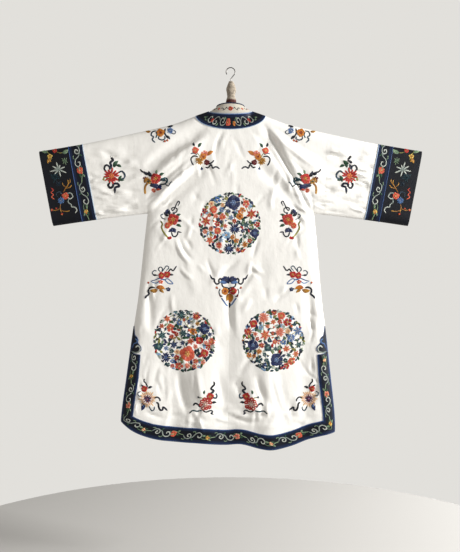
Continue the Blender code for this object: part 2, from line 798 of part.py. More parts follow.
def hanger(robe):
    half = [NECK_HALF_WIDTH * i / 3 for i in range(1, 3)]
    half += [mix(NECK_HALF_WIDTH, ARM_REACH, i / (ARM_STATIONS - 1)) for i in range(ARM_STATIONS)]
    across = [-x for x in reversed(half)] + [0.0] + half
    cord("hanger_arms", [Vector((x, 0, arm_z(x))) for x in across], ARM_RADIUS, robe, WOOD, 2)

    mesh = bpy.data.meshes.new("hanger_wrap")
    outline = [(0.0, WRAP_PROFILE[0][0])] + [(r, z) for z, r in WRAP_PROFILE] + [(0.0, WRAP_PROFILE[-1][0])]
    mesh.from_pydata([(r, 0, z) for r, z in outline], [(i, i + 1) for i in range(len(outline) - 1)], [])
    mesh.materials.append(material(WRAP_CLOTH))
    wrap = bpy.data.objects.new("hanger_wrap", mesh)
    wrap.location = (WRAP_CENTRE_X, 0, 0)
    robe.objects.link(wrap)
    turn = wrap.modifiers.new("turn", "SCREW")
    turn.steps = turn.render_steps = WRAP_SIDES
    turn.use_merge_vertices = True
    turn.merge_threshold = 0.0001

    radius = HOOK_INNER_RADIUS + HOOK_WIRE
    middle = Vector((0, 0, -HOOK_INNER_RADIUS))
    path = [Vector((0, 0, HOOK_STEM_Z)), Vector((0, 0, HOOK_STEM_Z + HOOK_STEM))]
    for angle in range(HOOK_START_ANGLE, HOOK_TIP_ANGLE + 1, HOOK_STEP):
        turn_by = math.radians(angle)
        path.append(middle + radius * Vector((math.cos(turn_by), 0, math.sin(turn_by))))
    cord("hanger_hook", path, HOOK_WIRE, robe, STEEL)


def turned_bar(name, direction, rings, robe):
    """A bar of changing round section whose rings, each a centre and a radius, face along a direction."""
    side = direction.cross(Vector((0, 1, 0))).normalized()
    up = Vector((0, 1, 0))
    points = []
    for centre, radius in rings:
        for i in range(KNOT_SIDES):
            turn = 2 * math.pi * i / KNOT_SIDES
            points.append(centre + (side * math.cos(turn) + up * math.sin(turn)) * radius)
    faces = [tuple(reversed(range(KNOT_SIDES)))]
    for ring in range(len(rings) - 1):
        base = ring * KNOT_SIDES
        for i in range(KNOT_SIDES):
            j = (i + 1) % KNOT_SIDES
            faces.append((base + i, base + j, base + KNOT_SIDES + j, base + KNOT_SIDES + i))
    last = (len(rings) - 1) * KNOT_SIDES
    faces.append(tuple(range(last, last + KNOT_SIDES)))
    obj = add_mesh(name, points, faces, robe, NAVY)
    weld(obj.data)
    return obj


def above_front(place, direction, distance, lift):
    """A point over the front, some way along a direction from a place in x and z."""
    x = place[0] + direction.x * distance
    z = place[1] + direction.z * distance
    return Vector((x, half_depth(x, z, FRONT) + lift, z))


def buttons(robe):
    """Each button is a ball on its own bar, and a bar with its loop on the overlap."""
    for name, x, z, angle, seat in BUTTONS:
        turn = math.radians(angle)
        to_loop = Vector((math.cos(turn), 0, math.sin(turn)))
        below_bar, border = SEATS[seat]
        below_loop = GAP + CLOTH + GAP + border
        ball_lift = below_loop + BALL_RADIUS + KNOT_SPARE
        centre = above_front((x, z), to_loop, 0.0, ball_lift)
        rings = []
        for step in range(1, BALL_RINGS):
            polar = math.pi * step / BALL_RINGS
            rings.append((centre + to_loop * BALL_RADIUS * math.cos(polar), BALL_RADIUS * math.sin(polar)))
        for distance, share in BUTTON_BAR:
            lift = mix(ball_lift, below_bar + border + BAR_RADIUS + KNOT_SPARE, share)
            rings.append((above_front((x, z), -to_loop, distance, lift), BAR_RADIUS))
        turned_bar(f"button_{name}", -to_loop, rings, robe)
        lift = below_loop + BAR_RADIUS + KNOT_SPARE
        start = BALL_RADIUS + GAP
        loop = [
            (above_front((x, z), to_loop, start + BAR_LENGTH * share, lift), BAR_RADIUS)
            for share in (0.0, 0.25, 0.5, 0.75, 1.0)
        ]
        turned_bar(f"loop_{name}", to_loop, loop, robe)


def main():
    clear_scene()
    robe = new_collection("silk robe on a hanger")
    cutters = new_collection("cutters")
    body_panels(robe, cutters)
    sleeve_pieces(robe)
    neckbands(robe, cutters)
    borders(robe, cutters)
    standing_collar(robe)
    hanger(robe)
    buttons(robe)


main()
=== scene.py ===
"""Looks of an embroidered silk robe that hangs, back to the viewer, from a wrapped hanger.

Metres, +Z up. The back faces -Y. The wearer's left is at -X. Motifs are drawn in millimetres.
"""

import math

import bpy
import numpy as np
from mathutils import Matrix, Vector


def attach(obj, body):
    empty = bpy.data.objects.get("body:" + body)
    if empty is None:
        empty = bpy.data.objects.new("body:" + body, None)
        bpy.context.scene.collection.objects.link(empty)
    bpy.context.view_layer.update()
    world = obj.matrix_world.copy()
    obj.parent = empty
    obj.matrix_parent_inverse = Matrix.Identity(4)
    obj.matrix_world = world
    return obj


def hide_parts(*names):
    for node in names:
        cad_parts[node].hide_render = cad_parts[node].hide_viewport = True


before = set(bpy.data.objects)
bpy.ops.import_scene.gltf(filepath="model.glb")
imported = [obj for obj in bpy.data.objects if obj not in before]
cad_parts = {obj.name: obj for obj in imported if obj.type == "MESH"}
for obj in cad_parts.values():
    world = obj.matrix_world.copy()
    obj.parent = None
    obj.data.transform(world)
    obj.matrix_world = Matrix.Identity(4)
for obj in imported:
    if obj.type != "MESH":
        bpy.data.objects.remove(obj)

bl_info = {
    "name": "Embroidered robe",
    "version": (1, 0, 0),
    "blender": (4, 5, 0),
    "location": "View3D > Sidebar > Robe",
    "description": "Cloth, embroidery, trimmings, hanger and studio of a hung silk robe",
    "category": "Object",
}

LEFT, RIGHT = -1, 1
BACK, FRONT = -1, 1
MM = 0.001
FACES = (BACK, FRONT)
QUARTERS = tuple((side, face) for side in (LEFT, RIGHT) for face in FACES)
TINY = 1e-9
SHARP_ANGLE = math.radians(50)


def mm(*rows):
    """Rows written in millimetres, in metres."""
    return tuple(tuple(value * MM for value in row) for row in rows)


# The cut, shared with the solids
CLOTH = 0.0016
GAP = 0.0003
TRIM = 0.0012
NECK_HALF_WIDTH = 0.0753
NECK_HALF_DEPTH = 0.036
NECK_SIDE_Z = -0.1526
NECK_DROP = {BACK: 0.0154, FRONT: 0.0524}
BAND_HALF_WIDTH = 0.1216
BAND_SIDE_Z = -0.1687
BAND_DROP = {BACK: 0.0487, FRONT: 0.0873}
SHOULDER_LINE = mm(  # x, z
    (75.3, -152.6), (121.6, -168.7), (196, -196.4), (288.8, -218.4), (518, -267.1), (567, -275.5),
    (669.2, -292.3),
)
UNDERARM_X, UNDERARM_Z = 0.2905, -0.5096
UNDERSIDE_LINE = (  # x, z
    (UNDERARM_X, UNDERARM_Z),
    *mm((329, -513.7), (468.3, -531), (619.5, -553)),
)
BODY_WIDTH = (  # z, half width
    *mm((-1350, 371.9), (-1235, 371.9), (-1077.7, 355), (-906.2, 334), (-804.7, 320), (-647, 304.5)),
    (UNDERARM_Z, UNDERARM_X),
)
SWING = 0.0096
SWING_END_Z = -1.2350
SWING_BEND = 1.3
HEM_LINE = mm(  # x, z
    (-381.5, -1233.5), (-338, -1265), (-282, -1287.2), (-200, -1301.2), (-92.8, -1306.5), (-13.7, -1312.5),
    (35.7, -1309.5), (104.3, -1325), (143.5, -1328), (202.7, -1316.7), (276.2, -1291), (362.3, -1270),
)
BODY_DEPTH = mm(  # z, towards the back, towards the front
    (-1340, 29, 20), (-950, 26, 18), (-600, 23, 16.5), (-350, 20.5, 15.5), (-150, 18, 14.5),
)
SLEEVE_DEPTH = {BACK: 0.0135, FRONT: 0.0115}
SLEEVE_FROM_X, SLEEVE_FULL_X = 0.20, 0.36
BELOW_UNDERARM = 0.1
TOP_ROUND = mm((0, 50), (75.3, 34), (200, 30), (670, 26))  # x, width
SIDE_ROUND = 0.040
VENT_TOP_Z = -0.9030
VENT_OPEN = {BACK: 0.011, FRONT: 0.008}
VENT_EASE = 0.1
FOLD_FADE = 0.045
FOLD_TAPER = 4
CLOSURE_LINE = mm((0, -262), (60, -271), (120, -301), (180, -356), (235, -433), (310, -540))  # x, z
OVER_RISE = 0.060
OVER_FULL_X = -0.002
CROWDING = 1.3  # rows of the overlap crowd together under the closure
SLEEVE_COLUMNS = mm(  # x at the fold, x at the underside
    (313, 310), (336, 329), (395, 375), (457, 422), (518, 468.3), (567, 518), (618, 569), (669.2, 619.5),
)
SEAM, BORDER, CUFF, END = 1, 4, 5, 7  # places in SLEEVE_COLUMNS
VENT_BORDER = mm(  # z, width
    (-903, 2), (-934, 10), (-941, 19), (-950, 24.5), (-959, 24), (-965, 29), (-975, 39), (-986, 40),
    (-992, 34), (-993.5, 13), (-998.5, 12), (-1000, 39), (-1080, 43), (-1200, 41),
)
HEM_BORDER = 0.050

# Creases, folds and places of motifs are in millimetres.
# Broad folds of the solids: face, from x and z, to x and z, half width, height
FOLDS = (
    (BACK, -95, -225, -275, -345, 20, -6.5), (BACK, -85, -240, -270, -470, 22, 6),
    (BACK, -60, -330, -250, -500, 20, -5.5), (BACK, 100, -215, 215, -400, 20, -7),
    (BACK, 140, -215, 270, -455, 22, 6), (BACK, 80, -330, 255, -500, 20, -5),
    (BACK, -215, -780, -190, -1330, 34, -8), (BACK, -100, -950, -85, -1330, 36, 7),
    (BACK, -10, -820, -5, -1330, 32, -7), (BACK, 120, -960, 140, -1340, 40, 11),
    (BACK, 250, -860, 265, -1320, 30, -6), (FRONT, -90, -300, -260, -480, 22, 4),
    (FRONT, 100, -330, 260, -480, 22, 4), (FRONT, -180, -900, -170, -1330, 36, 5),
    (FRONT, 60, -850, 60, -1330, 36, -5), (FRONT, 200, -950, 215, -1330, 34, 5),
)
# Main creases, listed one by one: from x and z, to x and z, bow sideways, half width, height
BACK_CREASES = (
    (-85, -205, -300, -350, 12, 24, -4), (-110, -262, -300, -430, 10, 20, 1.4),
    (-70, -330, -270, -520, 10, 24, -2), (95, -200, 290, -500, -10, 20, -3.2),
    (120, -205, 330, -400, -6, 20, 1.6), (60, -300, 240, -520, -10, 24, -1.4),
    (170, -215, 420, -330, 10, 20, -1.4), (-180, -235, -430, -330, -10, 20, -1),
    (-270, -540, -180, -640, 6, 24, 1.6), (250, -540, 170, -640, -6, 24, 1.4),
    (-282, -690, -262, -940, 6, 20, -2.2), (268, -690, 270, -940, 6, 20, -2),
    (-10, -660, 6, -930, 6, 24, -1.8), (-150, -640, -120, -800, 6, 22, 1.6),
    (110, -640, 120, -800, 6, 22, -1.4), (-180, -1030, -140, -1230, 6, 26, -2.4),
    (-30, -1020, -20, -1230, 6, 24, -2.2), (60, -1020, 90, -1230, 6, 24, 2),
    (150, -1040, 190, -1230, 6, 24, -2), (-78, -212, -300, -350, 10, 14, -4.6),
    (-72, -240, -290, -395, 12, 14, 4.2), (-100, -320, -292, -496, 6, 10, 4.6),
    (-92, -342, -282, -512, 6, 9, -3.6), (-120, -300, -294, -462, 8, 9, -3.4),
    (-150, -300, -300, -415, 6, 6, 2.2), (-23, -220, -56, -325, 10, 7, -2.2),
    (-12, -222, -34, -300, 6, 6, 1.4), (312, -570, 104, -178, 4, 9, -5), (296, -560, 84, -185, 6, 24, 2.6),
    (131, -205, 235, -375, -6, 9, 1), (68, -217, 246, -500, -20, 12, -3),
    (131, -190, 345, -325, 14, 11, -2.8), (140, -225, 330, -365, 12, 9, 2.2),
    (190, -300, 330, -420, 8, 7, -2), (-192, -596, -140, -690, 8, 8, 2.6),
    (-180, -596, -128, -676, 8, 6, -2.2), (-178, -694, -130, -742, 4, 7, 2),
    (-262, -640, -205, -560, 4, 7, 1.8), (-278, -780, -280, -925, 4, 13, -4),
    (-206, -790, -198, -870, 2, 10, 2), (-4, -780, 4, -930, 4, 12, -3.4), (16, -770, 22, -950, 4, 11, 2.2),
    (278, -780, 284, -930, 4, 12, -3.6), (70, -690, 118, -718, 4, 7, 2), (66, -700, 112, -735, 4, 6, -1.8),
    (190, -625, 270, -560, -6, 8, -2), (-185, -1055, -150, -1210, 6, 14, -4.4),
    (-120, -1030, -95, -1180, 4, 13, 3), (-50, -1040, -20, -1190, 4, 14, -3.6),
    (90, -1070, 130, -1180, 6, 14, -3.4), (150, -1060, 185, -1200, 4, 12, 2.6),
    (-55, -1210, 20, -1232, 8, 9.5, 2.6), (-20, -1188, 85, -1216, 10, 9.5, 2.8),
    (10, -1216, 90, -1238, 6, 8.5, -2.2), (-330, -1120, -255, -1190, 10, 8, 2.8),
    (-300, -1195, -215, -1222, 8, 7, -2.6), (300, -1080, 255, -1190, -10, 10, -2.8),
)
FRONT_CREASES = (
    (-110, -240, -300, -400, 10, 24, -1.8), (110, -240, 310, -400, -8, 24, -1.8),
    (-80, -340, -270, -520, 10, 24, 1.4), (-150, -640, -110, -820, 6, 24, 1.6),
    (130, -640, 110, -820, 6, 24, -1.6), (-170, -1020, -140, -1230, 6, 26, -2.2),
    (90, -1020, 110, -1230, 6, 26, -2.2), (-130, -250, -290, -395, 10, 10, -3.4),
    (-110, -300, -286, -480, 6, 9, 3), (-95, -330, -276, -505, 6, 9, -2.8),
    (150, -235, 310, -380, -8, 10, -3.2), (175, -260, 330, -420, -8, 8, 2.6),
    (60, -340, 230, -520, -12, 11, -2.8), (-60, -330, -70, -470, 8, 10, -2),
    (-210, -620, -150, -740, 10, 9, 2.4), (205, -640, 150, -730, -8, 9, -2.4),
    (-272, -800, -280, -940, 4, 13, -3.6), (-100, -800, -90, -960, 4, 13, 2.6),
    (20, -780, 30, -950, 4, 13, -3.2), (262, -790, 275, -940, 4, 12, -3),
    (-250, -1020, -235, -1200, 6, 14, 3.4), (-120, -1040, -105, -1200, 4, 14, -3.6),
    (10, -1030, 20, -1200, 4, 14, 3), (140, -1050, 150, -1210, 4, 15, -3.8),
    (250, -1060, 262, -1200, 4, 12, 2.6), (-60, -1218, 30, -1240, 8, 7, 2.6),
)
# Fields of small creases: face, seed, count, box in x and z, direction in degrees, spread of it,
# shortest and longest, narrowest and widest, greatest height
CREASE_FIELDS = (
    (BACK, 11, 60, (-500, -330), (-520, -280), 4, 7, (40, 95), (5.2, 8.5), 2.9),
    (BACK, 12, 60, (330, 500), (-520, -280), -4, 7, (40, 95), (5.2, 8.5), 2.9),
    (FRONT, 13, 44, (-500, -330), (-520, -280), 4, 7, (40, 95), (5, 8.5), 2.2),
    (FRONT, 14, 44, (330, 500), (-520, -280), -4, 7, (40, 95), (5, 8.5), 2.2),
    (BACK, 21, 16, (-310, -200), (-560, -430), 40, 16, (35, 80), (5, 8), 1.9),
    (BACK, 22, 16, (200, 310), (-560, -430), -40, 16, (35, 80), (5, 8), 1.9),
    (BACK, 31, 60, (-270, 260), (-1240, -560), 80, 24, (40, 120), (6, 13), 2.6),
    (BACK, 32, 34, (-240, 240), (-560, -240), 86, 26, (40, 110), (6, 12), 1.8),
    (FRONT, 33, 60, (-270, 260), (-1240, -560), 84, 22, (40, 120), (6, 12), 2),
    (FRONT, 34, 30, (-240, 240), (-560, -260), 86, 26, (40, 110), (6, 12), 1.8),
    (BACK, 41, 44, (-300, 300), (-1260, -1180), 10, 20, (35, 90), (6.5, 10), 1.8),
    (FRONT, 42, 44, (-300, 300), (-1260, -1180), 10, 20, (35, 90), (6.5, 10), 1.6),
    (BACK, 51, 26, (-330, -290), (-1200, -600), 80, 20, (30, 90), (4, 7), 1.9),
    (BACK, 52, 26, (280, 320), (-1200, -600), 100, 20, (30, 90), (4, 7), 1.9),
)
FIELD_BOW = 0.05  # spread of a small crease's bow, by its half length
LEAST_RISE = 0.35  # the flattest small crease, by the greatest height
STIFF_FROM = 0.002  # creases die out this far before the sleeve's border
STIFF_RUN = 0.014
VENT_POINTS, HEM_POINTS = 160, 240
CLEAR_OF_ARMS = 0.012  # creases start this far below the shoulder fold
DEEPEST = 0.62  # a trough takes up at most this share of the cloth's distance from the middle
STEEPNESS = 0.62  # the steep side of a crease is this share of the other side's width

# Collar
COLLAR_WALL = 0.0020
COLLAR_TOP_HALF_WIDTH = 0.0490
COLLAR_TOP_HALF_DEPTH = 0.0310
COLLAR_SIDE_Z = -0.1390
COLLAR_TOP_RISE = {BACK: 0.0080, FRONT: -0.0290}
COLLAR_SLIT_ANGLE = 2.0
COLLAR_INSET = 0.0025
COLLAR_SEAT = 0.0004
PIPING_RADIUS = 0.0021

# Hanger
ARM_RADIUS = 0.0055
ARM_REACH = 0.205
ARM_BELOW_FOLD = 0.0098
ARM_NECK_DROP = 0.0070
ARM_LEVEL_X = 0.1300
ARM_CENTRE_Z = -0.1480
ARM_ARCH = 0.75
WRAP_CENTRE_X = 0.0020
WRAP_PROFILE = mm(  # z, radius
    (-142.1, 12), (-133, 17), (-123, 18.5), (-111.7, 17), (-100.3, 13.8), (-90.7, 14.5), (-76.7, 17.2),
    (-62.7, 14), (-53.5, 10.3), (-47, 7),
)
WRAP_PITCH = 0.0023
WRAP_SUNK = 0.0016
WRAP_SPAN, BINDING_SPAN = (-0.1120, -0.0480), (-0.1405, -0.1125)  # lowest and highest z
STRIP_RADIUS, STRIP_SUNK = 0.0013, 0.0011
STRIP_UNEVEN = ((0.0003, 3.1), (0.0002, 0.37))  # how far in and out, waves in a turn
STRIP_WANDER = (0.0004, 0.23)  # how far up and down, waves in a turn
POINTS_A_TURN = 28
POINTED = 0.00005  # radius where a turned shape closes
HOOK_WIRE = 0.0016
HOOK_INNER_RADIUS = 0.0140
HOOK_STEM_Z = -0.0467
HOOK_STEM = 0.007
HOOK_START_ANGLE, HOOK_TIP_ANGLE = -50, 211

# Knot buttons: name, x and z of the ball, direction of the loop in degrees, what the button lies on
BUTTONS = (
    ("neck", 0.0070, -0.2320, 180, "neckband"),
    ("chest", 0.1560, -0.3200, 235, "under"),
    ("underarm", 0.2580, -0.4560, 215, "under"),
    ("side_upper", 0.2660, -0.6500, 180, "overlap"),
    ("side_lower", 0.2790, -0.8000, 180, "overlap"),
)
SEATS = {"under": (GAP, 0.0), "neckband": (GAP, TRIM + GAP), "overlap": (GAP + CLOTH + GAP, 0.0)}
BALL_RADIUS = 0.0042
KNOT_CORD = 0.0011
LOOP_RADIUS = 0.0050
BAR_LENGTH = 0.028
KNOT_SPARE = 0.0004
BALL_SWELL, BALL_WAVE, BALL_RISE = 0.68, 0.18, 0.62  # the knot's path, by the ball's radius
STRAND_PLACES = (0.0035, 0.006, 0.012, 0.024)  # along the strands of the button's bar
BAR_END = 0.0252
LEG_PLACES = (BAR_LENGTH, 0.02, 0.012, 0.007)  # along the legs of the loop
LEG_OFFSET = 0.0012
LOOP_MOUTH = 0.7  # half the angle where the loop is open, in radians
LOOP_RISE = 0.001

# Threads, from base to tip, and a third for hearts and ribs
THREADS = {
    "red": ("#7a1518", "#cf3528", "#e9b050"),
    "coral": ("#b02a20", "#e66f50", "#f3cc74"),
    "salmon": ("#c64a38", "#efa184", "#b8301f"),
    "peach": ("#dc8a50", "#f8dcb0", "#b8402e"),
    "orange": ("#9c430e", "#e0902c", "#7c2f1c"),
    "ochre": ("#7d4a14", "#cb9434", "#5c3516"),
    "yellow": ("#a8761f", "#ecca66", "#b8501f"),
    "navy": ("#070c28", "#192a62", "#7f9ccc"),
    "blue": ("#1c3a75", "#6690c6", "#e6dcb8"),
    "sky": ("#4678a8", "#a8c8e0", "#c9903c"),
    "teal": ("#061d24", "#194c58", "#8cb8b0"),
    "green": ("#0e2a20", "#2f5e3c", "#98ac58"),
    "sage": ("#46614c", "#90a882", "#d9d3a8"),
    "olive": ("#585a22", "#a09a4c", "#d9cf8c"),
    "ink": ("#05070f", "#151d33", "#4a5878"),
    "slate": ("#101f2e", "#384f62", "#9fb0b8"),
    "silver": ("#7b8984", "#cfd3c8", "#e6e2d2"),
    "pink": ("#b02e2a", "#f4dcc6", "#f8ecd6"),
    "maroon": ("#3c0e14", "#74181e", "#a8483c"),
}

# Motifs. Flowers and leaves are (kind, x, y, turn, size, thread); a ribbon is (thread, width, x and y
# of the points of its middle line). Millimetres, y up.
CHEST_SPRAY = (
    ("ink", 2.6, -14, 1, -30, 3, -39, -6, -36, -20, -30, -29), ("slate", 2, -18, 8, -30, 13, -40, 11),
    ("ink", 2.6, 18, -24, 26, -22, 33, -19, 41, -11),
    ("ink", 2.8, 10, -34, 20, -36, 30, -26, 36, -38, 44, -34, 52, -35, 60, -41),
    ("olive", 1.6, -24, 20, -14, 10, -8, 0), ("leaf", -26, 37, 110, 13, "ink"),
    ("leaf", -13, 33, 55, 16, "green"), ("leaf", 17, 5, 35, 22, "orange"),
    ("peony", -24, 23, 0, 12, "coral"), ("blossom", 8, 13, 10, 12, "salmon"),
    ("peony", 3, 2, 20, 12, "orange"), ("chrysanthemum", -10, -13, 0, 15, "ochre"),
    ("peony", 15, -18, 0, 10, "maroon"), ("bud", -3, -34, -80, 10, "navy"),
)
SHOULDER_SPRAY = (
    ("slate", 2.6, -20, 18, -34, 14, -38, 2, -30, -4, -34, -14, -24, -24),
    ("teal", 2.4, -22, 14, -18, 4, -22, -8), ("slate", 2.4, -10, 0, -12, -10, 0, -15, 10, -10, 8, -2),
    ("slate", 1.8, 30, 10, 42, 6, 47, 13, 40, 19), ("ink", 3, 11, 26, 9, 10, 14, 0, 20, -6),
    ("leaf", 18, 30, 12, 18, "ink"), ("leaf", 12, -2, -35, 16, "ink"), ("leaf", -40, 16, 170, 16, "ochre"),
    ("peony", -6, 11, 0, 15, "orange"), ("chrysanthemum", 28, 18, 0, 12, "blue"),
    ("bud", 4, -21, 20, 9, "red"), ("bud", 13, -18, 20, 9, "red"),
)
SLEEVE_SPRAY = (
    ("ink", 4.6, -14, 65, -7, 56, -4, 50, -13, 41, -10, 31, -14, 18),
    ("ink", 3.4, -27, 10, -34, 20, -28, 32, -18, 29, -14, 16),
    ("slate", 3.6, 14, 6, 26, 12, 36, 2, 36, -10, 24, -17),
    ("ink", 4.4, -12, -26, -20, -36, -14, -46, -4, -42, -2, -33, 12, -32, 18, -41, 6, -44, 3, -52, 3, -66),
    ("olive", 3.2, -18, -24, -22, -14, -32, -9, -37, -17, -32, -20), ("leaf", 0, 24, 60, 24, "green"),
    ("leaf", 8, 32, -20, 16, "green"), ("leaf", 18, -26, 70, 20, "green"),
    ("leaf", 22, -22, 10, 12, "green"), ("chrysanthemum", -9, -5, 0, 28, "red"),
    ("blossom", -8, -4, 18, 9, "coral"),
)
INNER_SLEEVE_SPRAY = (
    ("ink", 3, -54, 43, -46, 34, -38, 32, -30, 28, -20, 30),
    ("ochre", 4, -26, -6, -34, -14, -37, -26, -36, -44),
    ("teal", 3, 14, -10, 32, -10, 42, 0, 36, 12, 24, 8), ("slate", 2, 34, -10, 46, -18, 52, -8, 60, -2),
    ("navy", 7, -18, -8, -4, -12, 8, -17, 22, -18), ("ink", 2, 10, -2, 26, 6, 38, 0, 34, -8, 22, -10),
    ("navy", 3, -20, -14, -4, -20, 10, -26, 22, -26), ("leaf", -12, 16, 120, 20, "ink"),
    ("leaf", -22, 26, 160, 18, "ink"), ("leaf", -14, 4, 200, 16, "green"), ("leaf", 4, 24, 80, 14, "sage"),
    ("leaf", 14, 18, 30, 16, "green"), ("leaf", 16, 6, -15, 18, "teal"),
    ("blossom", -36, 10, 0, 8, "maroon"), ("leaf", -38, -6, 60, 20, "ochre"),
    ("blossom", -25, 1, 0, 11, "ochre"), ("peony", 1, 10, 10, 18, "red"), ("blossom", -8, 0, 0, 9, "coral"),
    ("chrysanthemum", -6, -31, 0, 9, "coral"), ("leaf", 2, -31, 5, 14, "coral"),
)
UNDERARM_SPRAY = (
    ("ink", 2.2, 6, 28, 16, 34, 17, 44, 8, 49, -1, 46, 2, 38, 10, 48, 15, 60, 21, 71, 26, 66, 20, 54),
    ("slate", 2, -22, 8, -34, 12, -39, 22, -30, 27),
    ("olive", 3.2, -40, 3, -34, -8, -36, -21, -30, -35, -21, -48, -13, -56),
    ("red", 5, -16, -54, -10, -58, -2, -54),
    ("ink", 2.6, -3, -36, 3, -50, 12, -52, 19, -44, 21, -36, 33, -38), ("leaf", -20, 22, 70, 20, "navy"),
    ("leaf", -12, 20, 140, 18, "ink"), ("leaf", -6, 22, 100, 16, "ink"), ("leaf", 14, 16, 30, 16, "green"),
    ("leaf", 16, 2, -5, 15, "ink"), ("leaf", 14, -12, -20, 16, "green"), ("leaf", 4, -22, -70, 16, "navy"),
    ("leaf", -2, -24, -130, 14, "navy"), ("bud", 6, 24, 80, 9, "ink"), ("peony", 4, 8, 15, 20, "red"),
    ("peony", -16, -14, 0, 11, "coral"), ("chrysanthemum", -5, -3, 0, 12, "orange"),
    ("blossom", 1, -29, 10, 9, "navy"),
)
WAIST_SPRAY = (
    ("slate", 1.9, -2, 30, -10, 40, -4, 48, 4, 43, 2, 32, 10, 42, 18, 52, 26, 46, 16, 34),
    ("ink", 2.6, 24, 30, 32, 41, 41, 36, 53, 52),
    ("slate", 1.9, -10, 20, -26, 20, -31, 29, -24, 36, -16, 34),
    ("blue", 1.9, -38, -1, -22, 3, -6, 9, 8, 4, 23, 7, 40, -9, 24, -8, 8, 6, -8, -2, -20, -8, -38, -1),
    ("ink", 3.4, -22, -24, -34, -22, -44, -28, -45, -38, -43, -46, -52, -53, -57, -61),
    ("leaf", -16, 21, 175, 12, "ink"), ("leaf", 28, 20, 0, 12, "ink"), ("peony", 1, 19, 0, 12, "red"),
    ("peony", 20, 22, 20, 12, "red"), ("blossom", -2, -3, 0, 8, "coral"), ("bud", -43, -10, 120, 8, "red"),
    ("leaf", -12, -30, 185, 24, "ochre"), ("leaf", -18, -24, -8, 26, "orange"),
    ("leaf", -8, -32, -30, 16, "ochre"), ("blossom", 24, -29, 0, 8, "navy"),
    ("olive", 1.6, -4, -28, 8, -28, 20, -28),
)
CENTRE_HALF = (
    ("ink", 3, 24, 31, 30, 38, 35, 32, 34, 23, 42, 19, 49, 26, 51, 37, 58, 38, 66, 52),
    ("ink", 2.6, 25, 25, 20, 10, 0, 5), ("slate", 2.2, 30, 3, 34, -8, 30, -20, 22, -25),
    ("blue", 2.4, 26, -29, 18, -40, 10, -52, 3, -58), ("leaf", 28, -27, 60, 10, "maroon"),
    ("bud", 38, 3, 40, 9, "red"), ("leaf", 2, 26, 18, 26, "navy"), ("leaf", 2, 29, 42, 20, "navy"),
    ("leaf", 6, 22, 4, 22, "blue"),
)
CENTRE_MIDDLE = (
    ("leaf", 0, 20, 90, 22, "navy"), ("peony", -13, -6, 0, 13, "orange"), ("peony", 15, -5, 0, 13, "red"),
    ("leaf", 0, -12, -90, 32, "orange"), ("leaf", -4, -14, -100, 22, "ochre"),
    ("leaf", 4, -14, -80, 22, "ochre"), ("ink", 3.4, 0, 6, 0, -6, 0, -12), ("leaf", 0, -44, -90, 18, "ink"),
)
SUN_SPRAY = (
    ("ink", 2.6, -13, 56, -14, 47, -8, 40, -3, 30, -6, 22), ("slate", 2, -20, -4, -32, -2, -34, 8, -25, 12),
    ("ink", 2.8, 20, -12, 32, -8, 40, -14, 42, -22),
    ("ink", 3.4, 28, -26, 35, -30, 37, -42, 42, -52, 50, -52, 52, -43, 59, -47, 67, -55),
    ("slate", 2.2, 4, -38, 8, -48, 14, -55, 21, -50, 22, -40), ("leaf", -18, -26, -100, 24, "navy"),
    ("leaf", -22, -28, -70, 16, "blue"), ("sun", -2, -14, 0, 33, "peach"),
    ("chrysanthemum", -2, -14, 0, 15, "maroon"), ("blossom", -2, -14, 0, 10, "navy"),
    ("leaf", 0, 22, 20, 14, "ink"), ("leaf", -14, 30, 150, 10, "ink"), ("peony", -13, 21, 0, 11, "red"),
)
WHEEL_SPRAY = (
    ("ink", 3.4, 37, 58, 39, 47, 30, 38, 28, 31, 37, 27, 32, 20, 24, 16),
    ("slate", 3, 30, 4, 44, 0, 48, 8, 44, 16), ("ink", 3, -34, -26, -28, -18, -18, -21, -10, -32),
    ("teal", 2.5, -48, -53, -36, -43, -20, -45, -4, -42),
    ("ink", 2.5, -2, -41, 11, -47, 26, -42, 33, -47, 28, -52, 36, -56), ("leaf", 4, 14, 80, 12, "green"),
    ("leaf", 28, 14, 40, 14, "ink"), ("leaf", 30, -17, 5, 14, "ink"), ("bud", -12, 3, 170, 8, "ink"),
    ("olive", 1.6, -14, 2, -4, 2, 2, -4), ("peony", 24, 6, 0, 13, "red"), ("wheel", 8, -20, 0, 23, "pink"),
)
